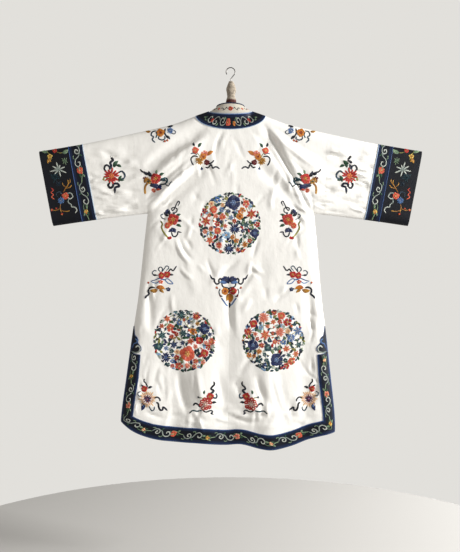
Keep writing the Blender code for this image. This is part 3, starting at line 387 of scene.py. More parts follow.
CUFF_MOTIF = (
    ("olive", 1.3, 50, 126, 42, 116, 36, 106, 30, 92), ("leaf", 44, 116, 15, 20, "sage"),
    ("leaf", -6, 116, 150, 22, "sage"), ("olive", 1.2, 14, 120, 2, 116, -6, 116),
    ("peony", 20, 124, 0, 8, "red"), ("blossom", 36, 104, 0, 9, "yellow"),
    ("leaf", 34, 96, -60, 16, "ochre"), ("leaf", 38, 100, -110, 14, "ochre"),
    ("bamboo", 6, 58, 8, 31, "silver"), ("bamboo", -16, 88, 60, 15, "sage"),
    ("pine", 18, 32, 0, 22, "teal"), ("pine", 6, 8, 30, 13, "slate"),
    ("ochre", 1.6, -10, -22, -20, -6, -28, 8, -26, 22), ("ochre", 1.4, -18, -8, -34, -4, -40, 4),
    ("ochre", 1.4, -24, 4, -34, 14, -34, 24), ("ochre", 1.3, -20, -4, -10, 4, -8, 12),
    ("coral", 1.7, 32, -6, 24, -14, 32, -22, 24, -30, 30, -38, 20, -46),
    ("slate", 1.6, 10, -38, 14, -26, 2, -20, -6, -28),
    ("silver", 1.9, -21, -26, -36, -24, -44, -36, -34, -44, -24, -38),
    ("silver", 1.9, -30, -42, -28, -56, -38, -64, -40, -72, -52, -74, -58, -84, -52, -94),
    ("peony", -18, -34, 0, 12, "coral"), ("chrysanthemum", -3, -50, 0, 12, "blue"),
    ("ochre", 1.4, -2, -62, 0, -76, -4, -92), ("ochre", 1.4, 0, -78, 14, -84, 26, -84),
    ("ochre", 1.4, -2, -84, -16, -88, -34, -86), ("bud", -4, -92, -110, 9, "red"),
    ("bud", 24, -84, 10, 9, "coral"), ("bud", 12, -82, 70, 7, "red"),
)
# One repeat of the scrollwork on a border. x runs along the border and y across it.
SCROLL_UNIT = (
    ("silver", 1.75, 0, 0, 8, 10, 20, 11, 27, 3, 22, -5, 14, -2, 16, 4, 20, 3),
    ("silver", 1.75, 20, 11, 33, 6, 43, -7, 56, -11, 64, -4, 60, 5, 52, 5, 51, -1),
    ("sage", 1.3, 8, 10, 4, 15, -4, 13), ("sage", 1.3, 43, -7, 38, -14, 30, -12),
    ("sage", 1.4, 60, 5, 70, 10, 84, 9, 98, 3, 112, 0), ("leaf", 64, -4, 10, 12, "sage"),
    ("leaf", 98, -1, 170, 12, "green"), ("leaf", 88, 6, 40, 10, "sage"), ("leaf", 30, 8, 60, 9, "green"),
)
SCROLL_LENGTH = 112
SCROLL_FLOWER_PLACE = (76, 1)
SCROLL_FLOWERS = (
    ("peony", "coral", 11), ("bud", "yellow", 17), ("blossom", "salmon", 11), ("bud", "peach", 16),
)

COLLAR_SPRAY = (
    ("ink", 1, 9, 0, 14, 4, 20, -3, 26, 3, 32, 0), ("leaf", 12, 2, 50, 5, "ink"),
    ("leaf", 20, -2, -50, 5, "ink"), ("bud", 27, 2, 20, 5, "navy"),
)
# Scrollwork of the neckband, from its middle outwards, and its flowers: kind, thread, size, place
NECKBAND_SCROLL = (
    ("silver", 1.2, 16, -6, 22, 6, 34, 9, 40, 0, 34, -8, 26, -5, 27, 1, 32, 1),
    ("silver", 1.2, 40, 0, 50, -9, 62, -8, 70, 2, 64, 9, 56, 7, 56, 1, 61, 1),
    ("silver", 1.2, 70, 2, 82, 8, 94, 3, 94, -6, 86, -8, 82, -3),
    ("sage", 1.2, 94, 3, 106, 6, 116, 0, 126, 2), ("leaf", 18, -7, -20, 8, "sage"),
    ("leaf", 48, 4, 60, 8, "sage"), ("leaf", 110, 3, -60, 8, "green"),
)
NECKBAND_FLOWERS = (
    ("peony", "coral", 9, -9), ("bud", "orange", 13, 6),
    ("blossom", "red", 6, 76), ("blossom", "red", 6, -76),
)

CUFF_PLACE = (0.5935, -0.4150)
SLEEVE_SCROLL = (0.262, 0.050)  # length and width
SCROLL_START = 110
NECKBAND_SPREAD = (0.30, 0.034)
CLOUD_Z = -0.968
CLOUD_CURLS = (
    ("silver", 2.4, 4, -22, 16, -26, 30, -22, 34, -10, 26, -2, 18, -8),
    ("blue", 1.8, 6, -12, 12, 4, 20, 8, 24, 16, 16, 22),
)
COLLAR_SPREAD = (0.058, 0.038)  # radius of the motifs' turn, height
COLLAR_REPEAT = 42

# Places of the motifs on the back: motif, x and z. The wearer's left shows each as drawn, the right
# mirrored.
BACK_PLACES = (
    (SHOULDER_SPRAY, -238, -240), (CHEST_SPRAY, -98, -315), (SLEEVE_SPRAY, -406, -374.5),
    (INNER_SLEEVE_SPRAY, -261, -399), (UNDERARM_SPRAY, -203, -539), (WAIST_SPRAY, -238, -745),
    (SUN_SPRAY, -278, -1140), (WHEEL_SPRAY, -87, -1151),
)
BACK_ROUNDELS = ((-2, -546, 0), (-161, -952, 1), (148, -952, 2))
FRONT_ROUNDELS = ((-2, -560, 3), (-156, -956, 4), (146, -956, 5))
CENTRE_PLACE = (-0.0060, -0.7750)
FRONT_SKIPS = (CHEST_SPRAY, INNER_SLEEVE_SPRAY)  # on the wearer's right the closure passes here
MEDALLION = 110  # radius
# Flowers of a roundel, largest first: count, kinds in turn, size
ROUNDEL_FLOWERS = (
    (1, ("peony",), 24),
    (5, ("chrysanthemum", "star", "peony"), 18),
    (11, ("star", "peony", "blossom", "chrysanthemum"), 14),
    (16, ("blossom", "star", "chrysanthemum"), 10),
    (16, ("blossom", "bud"), 8),
)
# Threads of the flowers, by direction from the roundel's middle
ROUNDEL_SECTORS = (
    ("coral", "red", "coral", "salmon"),
    ("red", "coral", "sky", "salmon"),
    ("orange", "red", "ochre", "navy"),
    ("navy", "teal", "blue", "red"),
    ("red", "orange", "coral", "teal"),
    ("blue", "navy", "teal", "peach"),
)
ROUNDEL_LEAVES = 92
ROUNDEL_EDGE_LEAVES = 34
ROUNDEL_LEAF_THREADS = (
    "green", "ink", "teal", "navy", "sky", "sage", "red", "green", "silver", "olive", "teal", "ink", "navy",
)
STEM_WIDTH = 1.1
STEM_BEND = 0.3  # greatest bow of a stem, by its length
FLOWER_SPREAD = (0.9, 1.12)  # smallest and largest flower, by the size in the table
LEAF_SIZES, EDGE_LEAF_SIZES = (11, 17), (9, 13)
EDGE_LEAF_INSET = 4
EDGE_LEAF_TURN = 1.75  # from straight out, in radians
# Flowers as rings of petals, outermost first: count, inner and outer reach, width, which of the threads
# at base and tip, turn, share where a petal is widest, steps. All by the flower's size.
RINGS = {
    "peony": (
        (7, 0.30, 1, 0.80, 0, 1, 0.2, 0.74, 6),
        (6, 0.12, 0.72, 0.60, 0, 1, 0.7, 0.74, 6),
        (5, 0, 0.44, 0.36, 0, 2, 0.1, 0.7, 5),
    ),
    "chrysanthemum": (
        (13, 0.25, 1, 0.27, 0, 1, 0.0, 0.55, 6),
        (10, 0.12, 0.70, 0.24, 0, 1, 0.2, 0.55, 6),
        (7, 0, 0.40, 0.20, 1, 2, 0.1, 0.55, 5),
    ),
    "blossom": ((5, 0.12, 1, 0.84, 0, 1, 0.3, 0.7, 6),),
    "star": ((6, 0, 1, 0.34, 0, 1, 0.5, 0.45, 6), (6, 0, 0.72, 0.16, 2, 1, 1.02, 0.5, 6)),
    "wheel": (
        (8, 0.30, 1, 0.66, 0, 0, 0.2, 0.72, 6),
        (8, 0.40, 0.88, 0.36, 1, 2, 0.2, 0.66, 6),
        (8, 0.10, 0.46, 0.20, 0, 1, 0.6, 0.66, 5),
    ),
}
# Rays: count, inner and outer reach, spread of the outer one and how fast it changes, width, share where
# a ray is widest, steps, layers. All by the motif's size.
BURSTS = {
    "sun": (22, 0.38, 0.86, 0.14, 2.4, 0.15, 0.6, 6, 1),
    "pine": (14, 0, 0.75, 0.25, 1.9, 0.09, 0.5, 5, 3),
}
HEARTS = {"peony": 0.12, "blossom": 0.2, "wheel": 0.12}  # radius of the middle
UNEVEN_TURN, UNEVEN_REACH = 0.10, 0.09  # spread of the petals' turns and reaches
RING_LAYERS = 4  # from one ring of a flower to the next
BAMBOO_RAYS = ((20, 0.8), (65, 0.9), (100, 0.55), (150, 0.8), (195, 1.0), (245, 0.85), (300, 0.7), (338, 1.0))
THINNEST = 0.05  # least half width of a stroke, in millimetres
RIBBON_FULLNESS = 1.9  # a ribbon's greatest width, by the one in its table
RIBBON_ENDS, RIBBON_TAPER = 0.35, 9  # width at a ribbon's ends, and how fast it grows to the greatest
LEAF_GROWTH = 1.2  # a leaf's length, by the one in its table
LEAF_BOW, LEAF_HALF_WIDTH, LEAF_FULLNESS = 0.12, 0.26, 0.85
VEIN_REACH = 0.8
LEAST_DOME = 0.25  # a stroke's height where it is narrowest, by its greatest
THIN_STROKE_RISE = 0.35  # height of the narrowest strokes, by the widest
LAYERS_APART = 6  # from one flower of a spray to the next
LAYER = 0.006 * MM  # height of one layer
EDGE_LIFT = 0.10 * MM  # height of a stroke's edges over the cloth
NARROW = 1.4  # strokes narrower than this half width, in millimetres, get a simpler dome
THREAD_PITCH = 0.55  # millimetres
WAVE_SCALE = 0.314  # a wave texture's scale for threads one metre apart

# Piping, stitches
RING_LIFT = 0.0008
PIPING_SEAT = 0.6  # how far up the trimming's edge piping lies, by the trimming's thickness
CLOSURE_SHIFT = 0.0006
BORDER_RADIUS, HEM_RADIUS, NECKBAND_RADIUS, CLOSURE_RADIUS = 0.0009, 0.0017, 0.0010, 0.0015
SLEEVE_RADIUS, CUFF_RADIUS = 0.0011, 0.0010
BORDER_PROUD, CUFF_PROUD = 0.0004, 0.0002  # how far these stand out past the sleeve's cloth
STITCH_LENGTH, STITCH_RADIUS = 0.0020, 0.00022
STITCH_LIFT = 0.0001
SEAM_SIDE = 0.004  # from the sleeve's seam to its stitches
HEM_STITCH_PLACE = 0.9  # share across the border
CLOSURE_BOUND_TO = 0.285

# Stage
FLOOR_RADIUS = 1.4
FLOOR_COLOUR, WALL_COLOUR, SKY_COLOUR = (0.50, 0.49, 0.47), (0.76, 0.745, 0.71), (1.0, 0.965, 0.92)
SKY_STRENGTH = 0.30
FLOOR_Z = -1.80
CAMERA_PLACE = (-0.002, -2.684, -0.728)
WHITE, CREAM = (1.0, 0.995, 0.985), (1.0, 0.96, 0.90)
LIGHTS = (  # name, place, target, size, power, colour
    ("key", (3.40, -1.46, 0.20), (0.05, 0, -0.75), (0.65, 1.2), 228, WHITE),
    ("fill", (-2.2, -1.6, -0.2), (0, 0, -0.8), (1.2, 1.6), 12, CREAM),
    ("front key", (2.60, 1.75, 0.20), (0, 0, -0.75), (0.65, 1.2), 88, WHITE),
)


def linear(code):
    """A colour written as six hex digits, as linear light."""
    channels = [int(code[i : i + 2], 16) / 255 for i in (1, 3, 5)]
    return [c / 12.92 if c < 0.04045 else ((c + 0.055) / 1.055) ** 2.4 for c in channels]


def ease(share):
    share = np.clip(share, 0.0, 1.0)
    return share * share * (3 - 2 * share)


def mix(a, b, share):
    return a + (b - a) * share


def line_through(rows, column=1):
    """A smooth function through the rows of a table, from its first column to the given one."""
    rows = np.array(sorted(rows), float)
    at, value = rows[:, 0], rows[:, column]
    rise = np.diff(value) / np.diff(at)
    slope = np.concatenate(([rise[0]], (rise[1:] + rise[:-1]) / 2, [rise[-1]]))

    def read(place):
        place = np.clip(place, at[0], at[-1])
        i = np.clip(np.searchsorted(at, place, side="right") - 1, 0, len(at) - 2)
        span = at[i + 1] - at[i]
        t = (place - at[i]) / span
        start = value[i] * (1 + 2 * t) * (1 - t) ** 2 + value[i + 1] * t * t * (3 - 2 * t)
        return start + span * (slope[i] * t * (1 - t) ** 2 - slope[i + 1] * t * t * (1 - t))

    return read


shoulder_z = line_through(SHOULDER_LINE)
underside_z = line_through(UNDERSIDE_LINE)
body_half_width = line_through(BODY_WIDTH)
hem_z = line_through(HEM_LINE)
body_depth = {BACK: line_through(BODY_DEPTH, 1), FRONT: line_through(BODY_DEPTH, 2)}
top_round = line_through(TOP_ROUND)
closure_z = line_through(CLOSURE_LINE)
wrap_radius = line_through(WRAP_PROFILE)


def of_face(face, table):
    return np.where(face == BACK, table[BACK], table[FRONT])


def centre_x(z):
    share = np.clip((UNDERARM_Z - z) / (UNDERARM_Z - SWING_END_Z), 0, 1)
    return -SWING * share**SWING_BEND


def round_the_neck(x):
    return np.sqrt(np.maximum(0.0, 1 - (x / NECK_HALF_WIDTH) ** 2))


def top_z(x, face):
    x = np.abs(x)
    neck = NECK_SIDE_Z - of_face(face, NECK_DROP) * round_the_neck(x)
    return np.where(x < NECK_HALF_WIDTH, neck, shoulder_z(x))


def from_side(x, z):
    """Distance from the side seam, the underarm corner or the sleeve's underside."""
    out = np.abs(x)
    width = body_half_width(z)
    on_sleeve = (out >= UNDERARM_X) & (z > UNDERARM_Z - BELOW_UNDERARM) & (out > width - TINY)
    chest = np.hypot(UNDERARM_X - out, z - UNDERARM_Z)
    body = width - np.abs(x - centre_x(z))
    return np.where(on_sleeve, z - underside_z(out), np.where(z >= UNDERARM_Z, chest, body))


def rounded(distance, width, deep, shallow):
    share = np.clip(distance / width, 0, 1)
    turned = 1 - (1 - share) ** 2
    return np.sqrt(deep * deep * turned + shallow * shallow * (1 - turned))


def field_creases():
    """The small creases, each a row of face, ends, bow, width and height, in millimetres."""
    rows = []
    for face, seed, count, across, up, direction, spread, length, width, height in CREASE_FIELDS:
        rng = np.random.default_rng(seed)
        for _ in range(count):
            x, z = rng.uniform(*across), rng.uniform(*up)
            turn = math.radians(direction + rng.normal(0, spread))
            half = rng.uniform(*length) / 2
            dx, dz = half * math.cos(turn), half * math.sin(turn)
            bow = rng.normal(0, FIELD_BOW) * half
            rise = height * rng.uniform(LEAST_RISE, 1.0) * rng.choice((-1, 1))
            rows.append((face, x - dx, z - dz, x + dx, z + dz, bow, rng.uniform(*width), rise))
    return rows


CREASES = [(BACK, *row) for row in BACK_CREASES] + [(FRONT, *row) for row in FRONT_CREASES]
CREASES = [(face, *(value * MM for value in row)) for face, *row in CREASES + field_creases()]


def crease_height(x, z, face):
    total = np.zeros(x.shape)
    for for_face, x0, z0, x1, z1, bow, width, height in CREASES:
        reach = 3 * width + abs(bow)
        near = (face == for_face) & (x > min(x0, x1) - reach) & (x < max(x0, x1) + reach)
        near &= (z > min(z0, z1) - reach) & (z < max(z0, z1) + reach)
        if not near.any():
            continue
        px, pz = x[near] - x0, z[near] - z0
        length = math.hypot(x1 - x0, z1 - z0)
        along = (px * (x1 - x0) + pz * (z1 - z0)) / length**2
        side = (px * (z1 - z0) - pz * (x1 - x0)) / length - bow * 4 * along * (1 - along)
        taper = np.sin(math.pi * np.clip(along, 0, 1))
        steep = np.where(side > 0, width * STEEPNESS, width)
        total[near] += height * taper * np.exp(-((side / steep) ** 2))
    border = SLEEVE_COLUMNS[BORDER]
    lean = (border[0] - border[1]) / (shoulder_z(border[0]) - underside_z(border[1]))
    border_x = border[0] + lean * (z - shoulder_z(border[0])) - STIFF_FROM
    return total * ease((border_x - np.abs(x)) / STIFF_RUN)


def fold_height(x, z, face):
    total = np.zeros(x.shape)
    for for_face, *row in FOLDS:
        x0, z0, x1, z1, width, height = (value * MM for value in row)
        along = ((x - x0) * (x1 - x0) + (z - z0) * (z1 - z0)) / ((x1 - x0) ** 2 + (z1 - z0) ** 2)
        near = np.clip(along, 0, 1)
        away = np.hypot(x - mix(x0, x1, near), z - mix(z0, z1, near))
        taper = ease(near * FOLD_TAPER)
        if z1 > hem_z(x1) + HEM_BORDER:
            taper = taper * ease((1 - near) * FOLD_TAPER)
        total += (face == for_face) * height * taper * np.exp(-((away / width) ** 2))
    return total


def half_depth(x, z, face):
    """How far the cloth's outer side is from the plane y = 0."""
    x, z, face = np.broadcast_arrays(np.asarray(x, float), np.asarray(z, float), np.asarray(face))
    below_top = np.maximum(0.0, top_z(x, face) - z)
    inside = np.maximum(0.0, from_side(x, z))
    sleeve = ease((np.abs(x) - SLEEVE_FROM_X) / (SLEEVE_FULL_X - SLEEVE_FROM_X))
    sleeve = sleeve * ease((z - UNDERARM_Z) / BELOW_UNDERARM + 1)
    body = np.where(face == BACK, body_depth[BACK](z), body_depth[FRONT](z))
    region = mix(body, of_face(face, SLEEVE_DEPTH), sleeve)
    vent = of_face(face, VENT_OPEN) * ease((VENT_TOP_Z - z) / (VENT_TOP_Z - SWING_END_Z))
    deep = rounded(inside, SIDE_ROUND, region, vent)
    depth = rounded(below_top, top_round(np.abs(x)), deep, NECK_HALF_DEPTH * round_the_neck(x))
    open_edge = ease((VENT_TOP_Z - z) / VENT_EASE)
    fade = ease(below_top / FOLD_FADE) * mix(ease(inside / FOLD_FADE), 1.0, open_edge)
    fine = ease((below_top - CLEAR_OF_ARMS) / FOLD_FADE) * mix(ease(inside / FOLD_FADE * 2), 1.0, open_edge)
    relief = fade * fold_height(x, z, face) + settings().fold_strength * fine * crease_height(x, z, face)
    room = DEEPEST * depth + TINY
    relief = np.where(relief < 0, -room * np.tanh(-relief / room), relief)
    return GAP / 2 + depth + relief


def cover_lift(x, z, face):
    """How far the overlap raises the front's outer side."""
    rise = (CLOTH + GAP) * ease(1 + (x - OVER_FULL_X) / OVER_RISE)
    covered = (x < 0) | (z < closure_z(x))
    return np.where((face == FRONT) & covered, rise, 0.0)


STEP = 0.0006


def surface(x, z, face, lift=0.0):
    """Points this far over the cloth's outer side, and directions out of the cloth.
    A place above the shoulder fold goes over it to the other face."""
    x, z, face, lift = np.broadcast_arrays(x, z, face, lift)
    over = (z > top_z(x, face)) & (np.abs(x) > NECK_HALF_WIDTH)
    z = np.where(over, 2 * top_z(x, face) - z, z)
    face = np.where(over, -face, face)
    y = half_depth(x, z, face) + cover_lift(x, z, face)
    along_x = (half_depth(x + STEP, z, face) - half_depth(x - STEP, z, face)) / (2 * STEP)
    along_z = (half_depth(x, z + STEP, face) - half_depth(x, z - STEP, face)) / (2 * STEP)
    out = unit(np.stack([-along_x, np.ones(x.shape), -along_z], -1))
    points = np.stack([x, y, z], -1) + out * lift[..., None]
    points[..., 1] *= face
    out[..., 1] *= face
    return points, out


# Meshes


def make_object(name, points, faces, material, sharp=True):
    mesh = bpy.data.meshes.new(name)
    mesh.from_pydata(np.asarray(points).tolist(), [], np.asarray(faces).tolist())
    mesh.shade_smooth()
    if sharp:
        mesh.set_sharp_from_angle(angle=SHARP_ANGLE)
    mesh.materials.append(material)
    return linked(name, mesh)


def linked(name, data):
    obj = bpy.data.objects.new(name, data)
    bpy.context.scene.collection.objects.link(obj)
    return obj


def set_value(obj, name, values):
    attribute = obj.data.attributes.new(name, "FLOAT", "POINT")
    attribute.data.foreach_set("value", np.asarray(values, np.float32))


def quads_of(index):
    """Quads between neighbours in a grid of point numbers."""
    return np.stack((index[:-1, :-1], index[1:, :-1], index[1:, 1:], index[:-1, 1:]), -1).reshape(-1, 4)


def grid_faces(rows, columns, wrap=False):
    """Quads of a grid of points, closed over its rows if asked."""
    index = np.arange(rows * columns).reshape(rows, columns)
    return quads_of(np.vstack([index, index[:1]]) if wrap else index)


def face_normals(points, faces):
    a, b, c, d = (points[faces[:, i]] for i in range(4))
    return np.cross(c - a, d - b)


def unit(rows):
    return rows / np.maximum(np.linalg.norm(rows, axis=-1, keepdims=True), TINY)


def walled(faces, count):
    """Faces of a closed wall: a skin, the same turned over on points that come count later, and the rim."""
    starts, ends = faces.ravel(), np.roll(faces, -1, axis=1).ravel()
    lone = ~np.isin(starts * count + ends, ends * count + starts)
    a, b = starts[lone], ends[lone]
    return np.vstack([faces, faces[:, ::-1] + count, np.stack([b, a, a + count, b + count], 1)])


def shell(name, points, faces, inner, outer, outwards, key, flat_x=(), flat_y=()):
    """A closed wall between two distances out from a grid. Out is the point scaled by the first of
    outwards, plus the second. Points of flat_x and flat_y stay on their plane of x or y."""
    if (face_normals(points, faces) * (points[faces[:, 0]] * outwards[0] + outwards[1])).sum() < 0:
        faces = faces[:, ::-1]
    out = np.zeros(points.shape)
    normals = face_normals(points, faces)
    for corner in faces.T:
        np.add.at(out, corner, normals)
    out[list(flat_x), 0] = 0
    out[list(flat_y), 1] = 0
    out = unit(out)
    count = len(points)
    walls = [points + out * np.broadcast_to(side, count)[:, None] for side in (outer, inner)]
    return make_object(name, np.vstack(walls), walled(faces, count), material(key))


FOLD_ROWS = np.array((0, 0.6, 1.4, 2.5, 4, 6, 8.5, 11.5, 15, 19, 24, 29.5, 35)) * MM
NEAR_SIDE = np.array((32, 26, 20, 15, 11, 8, 5.5, 3.5, 1.8, 0.6, 0)) * MM


def body_columns():
    neck = NECK_HALF_WIDTH * np.sin(np.radians(np.arange(0, 91, 6)))
    middle = np.linspace(NECK_HALF_WIDTH, UNDERARM_X - 0.038, settings().columns)[1:]
    return np.concatenate([neck, middle, UNDERARM_X - NEAR_SIDE])


def sleeve_span(first, last, count):
    """x at the fold and at the underside for columns between two places in SLEEVE_COLUMNS."""
    table = np.array(((UNDERARM_X, UNDERARM_X), *SLEEVE_COLUMNS))
    place = np.linspace(first + 1, last + 1, count)
    index = np.arange(len(table))
    return np.interp(place, index, table[:, 0]), np.interp(place, index, table[:, 1])


def chest_places(tops, feet, face):
    """x and z, rows by columns, from the shoulder fold down to the underarm's height."""
    start = top_z(tops, face)
    end = np.where(feet <= UNDERARM_X + TINY, UNDERARM_Z, underside_z(feet))
    length = np.hypot(feet - tops, end - start)
    share = np.linspace(0, 1, settings().chest_rows)[1:, None]
    crowded = mix(share, 1 - (1 - share) ** 2, ease(feet / UNDERARM_X))
    distance = np.vstack([np.repeat(FOLD_ROWS[:, None], len(tops), 1), mix(FOLD_ROWS[-1], length, crowded)])
    return tops + (feet - tops) * distance / length, start + (end - start) * distance / length


def foot_of(across):
    """Height of the hem below a column at this share of the body's half width."""
    return hem_z(centre_x(SWING_END_Z) + across * body_half_width(SWING_END_Z))


def torso_places(columns, side):
    share = np.linspace(0, 1, settings().torso_rows)[1:, None]
    across = side * columns / UNDERARM_X
    z = mix(UNDERARM_Z, foot_of(across), share)
    return centre_x(z) + across * body_half_width(z), z


def add_panel(name, side, face):
    """Half of the back or of the front, cut in one with its upper sleeve."""
    body = body_columns()
    sleeve_tops, sleeve_feet = sleeve_span(-1, SEAM, settings().columns // 4)
    tops = np.concatenate([body, sleeve_tops[1:]])
    x, z = chest_places(tops, np.concatenate([body, sleeve_feet[1:]]), face)
    low_x, low_z = torso_places(body, side)
    rows, columns, low, wide = *x.shape, len(low_x), len(body)
    index = np.full((rows + low, columns), -1)
    index[:rows] = np.arange(rows * columns).reshape(rows, columns)
    index[rows:, :wide] = rows * columns + np.arange(low * wide).reshape(low, wide)
    quads = quads_of(index)
    quads = quads[(quads >= 0).all(1)]
    x = np.concatenate([side * x.ravel(), low_x.ravel()])
    z = np.concatenate([z.ravel(), low_z.ravel()])
    y = face * half_depth(x, z, face)
    centre, seam = index[:, 0], index[:rows, -1]
    x[centre] += side * GAP / 2
    x[seam] -= side * GAP / 2
    fold = index[0][tops >= NECK_HALF_WIDTH - TINY]
    edge = index[rows:, wide - 1]
    closed = [*fold, *index[rows - 1, wide - 1 :], *edge[z[edge] > VENT_TOP_Z]]
    lift = cover_lift(x - TINY, z, FRONT) if name == "front_over" else np.zeros(len(x))
    points = np.stack([x, y, z], 1)
    return shell(name, points, quads, lift - CLOTH, lift, (0, (0, face, 0)), "silk", [*centre, *seam], closed)


def overlap():
    """The part of the overlap that crosses to the wearer's right, from the closure down to the hem."""
    body = body_columns()
    share = np.linspace(0, 1, settings().torso_rows + settings().chest_rows // 2)[:, None]
    share = mix(share, share**CROWDING, 0.5)
    across = body / UNDERARM_X
    z = mix(closure_z(body), foot_of(across), share)
    x = np.where(z > UNDERARM_Z, body + 0 * z, centre_x(z) + across * body_half_width(z))
    y = half_depth(x, z, FRONT)
    x[:, 0] += GAP / 2
    points = np.stack([x, y, z], -1).reshape(-1, 3)
    index = np.arange(len(points)).reshape(x.shape)
    edge = index[:, -1][z[:, -1] > VENT_TOP_Z]
    faces = grid_faces(*x.shape)
    return shell("overlap_right", points, faces, GAP, CLOTH + GAP, (0, (0, 1, 0)), "silk", index[:, 0], edge)


def add_tube(name, side, first, last, count, proud, key):
    """A piece of a sleeve: down its back from the fold to the underside, then up its front."""
    tops, feet = sleeve_span(first, last, count)
    halves = []
    for face in (BACK, FRONT):
        x, z = chest_places(tops, feet, face)
        y = face * half_depth(side * x, z, face)
        y[0] = y[-1] = 0
        halves.append(np.stack([side * x, y, z], -1))
    ring = np.concatenate([halves[0], halves[1][-2:0:-1]])
    rows = len(ring)
    ring[:, 0, 0] += side * GAP / 2
    if last != END:
        ring[:, -1, 0] -= side * GAP / 2
    index = np.arange(rows * count).reshape(rows, count)
    flat_x, flat_y = [*index[:, 0], *index[:, -1]], [*index[0], *index[len(halves[0]) - 1]]
    faces = grid_faces(rows, count, wrap=True)
    outwards = (0, 1, 0), 0
    obj = shell(name, ring.reshape(-1, 3), faces, -CLOTH, proud, outwards, key, flat_x, flat_y)
    set_value(obj, "across", np.tile(np.linspace(0, 1, count), 2 * rows))
    return obj


# Strips on the cloth. Each is a function from (share along, share across) to x and z.


def neckband_places(face, first=-90, last=90):
    def place(along, across):
        turn = np.radians(mix(first, last, along))
        sine, cosine = np.sin(turn), np.cos(turn)
        x = mix(NECK_HALF_WIDTH * sine, BAND_HALF_WIDTH * sine, across)
        z = mix(NECK_SIDE_Z - NECK_DROP[face] * cosine, BAND_SIDE_Z - BAND_DROP[face] * cosine, across)
        return x, np.minimum(z, top_z(x, face))

    return place


def border_paths():
    """Points of the border's outer and inner edges: down one vent, along the hem and up the other vent."""
    down = np.linspace(VENT_BORDER[0][0], SWING_END_Z, VENT_POINTS)
    width = np.interp(down, *np.array(sorted(VENT_BORDER)).T)
    corner = body_half_width(SWING_END_Z)
    share = np.linspace(-1, 1, HEM_POINTS)
    x, within = (centre_x(SWING_END_Z) + share * out for out in (corner, corner - VENT_BORDER[-1][1]))
    hem = np.stack([x, hem_z(x)], 1), np.stack([within, hem_z(within) + HEM_BORDER], 1)
    vents = []
    for side in (LEFT, RIGHT):
        edge = centre_x(down) + side * body_half_width(down)
        vents.append([np.stack([place, down], 1)[:-1] for place in (edge, edge - side * width)])
    outer, inner = (np.vstack([vents[0][i], hem[i], vents[1][i][::-1]]) for i in (0, 1))
    first, last = VENT_POINTS - 1, VENT_POINTS + HEM_POINTS - 2
    lowest = inner[first, 1] - TINY
    for part, mitre in ((inner[:first], inner[first]), (inner[last + 1 :], inner[last])):
        part[part[:, 1] < lowest] = mitre
    return outer, inner


def run_of(points):
    """Distance along a line of points."""
    return np.concatenate([[0], np.cumsum(np.linalg.norm(np.diff(points, axis=0), axis=1))])


def border_middle():
    """Shares along the middle of the vent and hem border, and its length."""
    run = run_of(sum(border_paths()) / 2)
    return run / run[-1], run[-1]


def border_places():
    edges = border_paths()
    share, _ = border_middle()

    def place(along, across):
        return [mix(*(np.interp(along, share, edge[:, i]) for edge in edges), across) for i in (0, 1)]

    return place


def add_strip(name, place, face, along, columns):
    """A trimming laid on the cloth. Its points are the cloth's, moved out."""
    along, across = np.meshgrid(along, np.linspace(0, 1, columns), indexing="ij")
    low, out = (part.reshape(-1, 3) for part in surface(*place(along, across), face, GAP))
    high = low + out * TRIM
    quads = grid_faces(*along.shape)
    middle = len(quads) // 2
    if np.dot(face_normals(high, quads[middle : middle + 1])[0], out[quads[middle, 0]]) < 0:
        quads = quads[:, ::-1]
    obj = make_object(name, np.vstack([high, low]), walled(quads, len(high)), material("border"))
    set_value(obj, "across", np.tile(across.ravel(), 2))
    return obj


# Floss: each stroke is a path in millimetres with half widths, threads from base to tip, a grain and
# a layer. Strokes of higher layers lie over the others.


def smooth(points, count):
    """A curve through the points."""
    points = np.asarray(points, float).reshape(-1, 2)
    ends = np.vstack([2 * points[0] - points[1], points, 2 * points[-1] - points[-2]])
    found = []
    for i in range(1, len(ends) - 2):
        a, b, c, d = ends[i - 1 : i + 3]
        t = np.linspace(0, 1, count, endpoint=False)[:, None]
        turn = 2 * b + (c - a) * t + (2 * a - 5 * b + 4 * c - d) * t**2 + (3 * b - a - 3 * c + d) * t**3
        found.append(turn / 2)
    return np.vstack([*found, points[-1:]])


def petal(inner, outer, width, turn, threads, full=0.62, steps=6, layer=0):
    """A petal along a direction, widest at the share full of its length."""
    t = np.linspace(0, 1, steps)
    grow = np.sin(np.minimum(t / full, 1) * math.pi / 2)
    close = np.sqrt(np.clip(1 - (np.maximum(t - full, 0) / (1 - full)) ** 2, 0, 1))
    reach = mix(inner, outer, t)
    path = np.stack([reach * math.cos(turn), reach * math.sin(turn)], 1)
    return (path, np.maximum(width / 2 * grow * close, THINNEST), threads, 0.0, layer)


def flower(kind, size, thread):
    """Rings of petals round a middle, a little uneven, every other petal over its neighbours."""
    made = []
    for ring, (count, inner, outer, width, base, tip, start, full, steps) in enumerate(RINGS[kind]):
        threads = THREADS[thread][base], THREADS[thread][tip]
        for k in range(count):
            turn = start + 2 * math.pi * k / count + UNEVEN_TURN * math.sin(5.1 * k + count)
            reach = size * outer * (1 + UNEVEN_REACH * math.sin(2.7 * k + start * 9))
            layer = ring * RING_LAYERS + k % 3
            made.append(petal(size * inner, reach, size * width, turn, threads, full, steps, layer))
    if kind in HEARTS:
        made.append(disc(size * HEARTS[kind], THREADS[thread][2], len(RINGS[kind]) * RING_LAYERS))
    return made


def disc(radius, thread, layer):
    t = np.linspace(-1, 1, 7)
    path = np.stack([t * radius, 0 * t], 1)
    return (path, np.maximum(radius * np.sqrt(1 - t * t), THINNEST), (thread, thread), 0.0, layer)


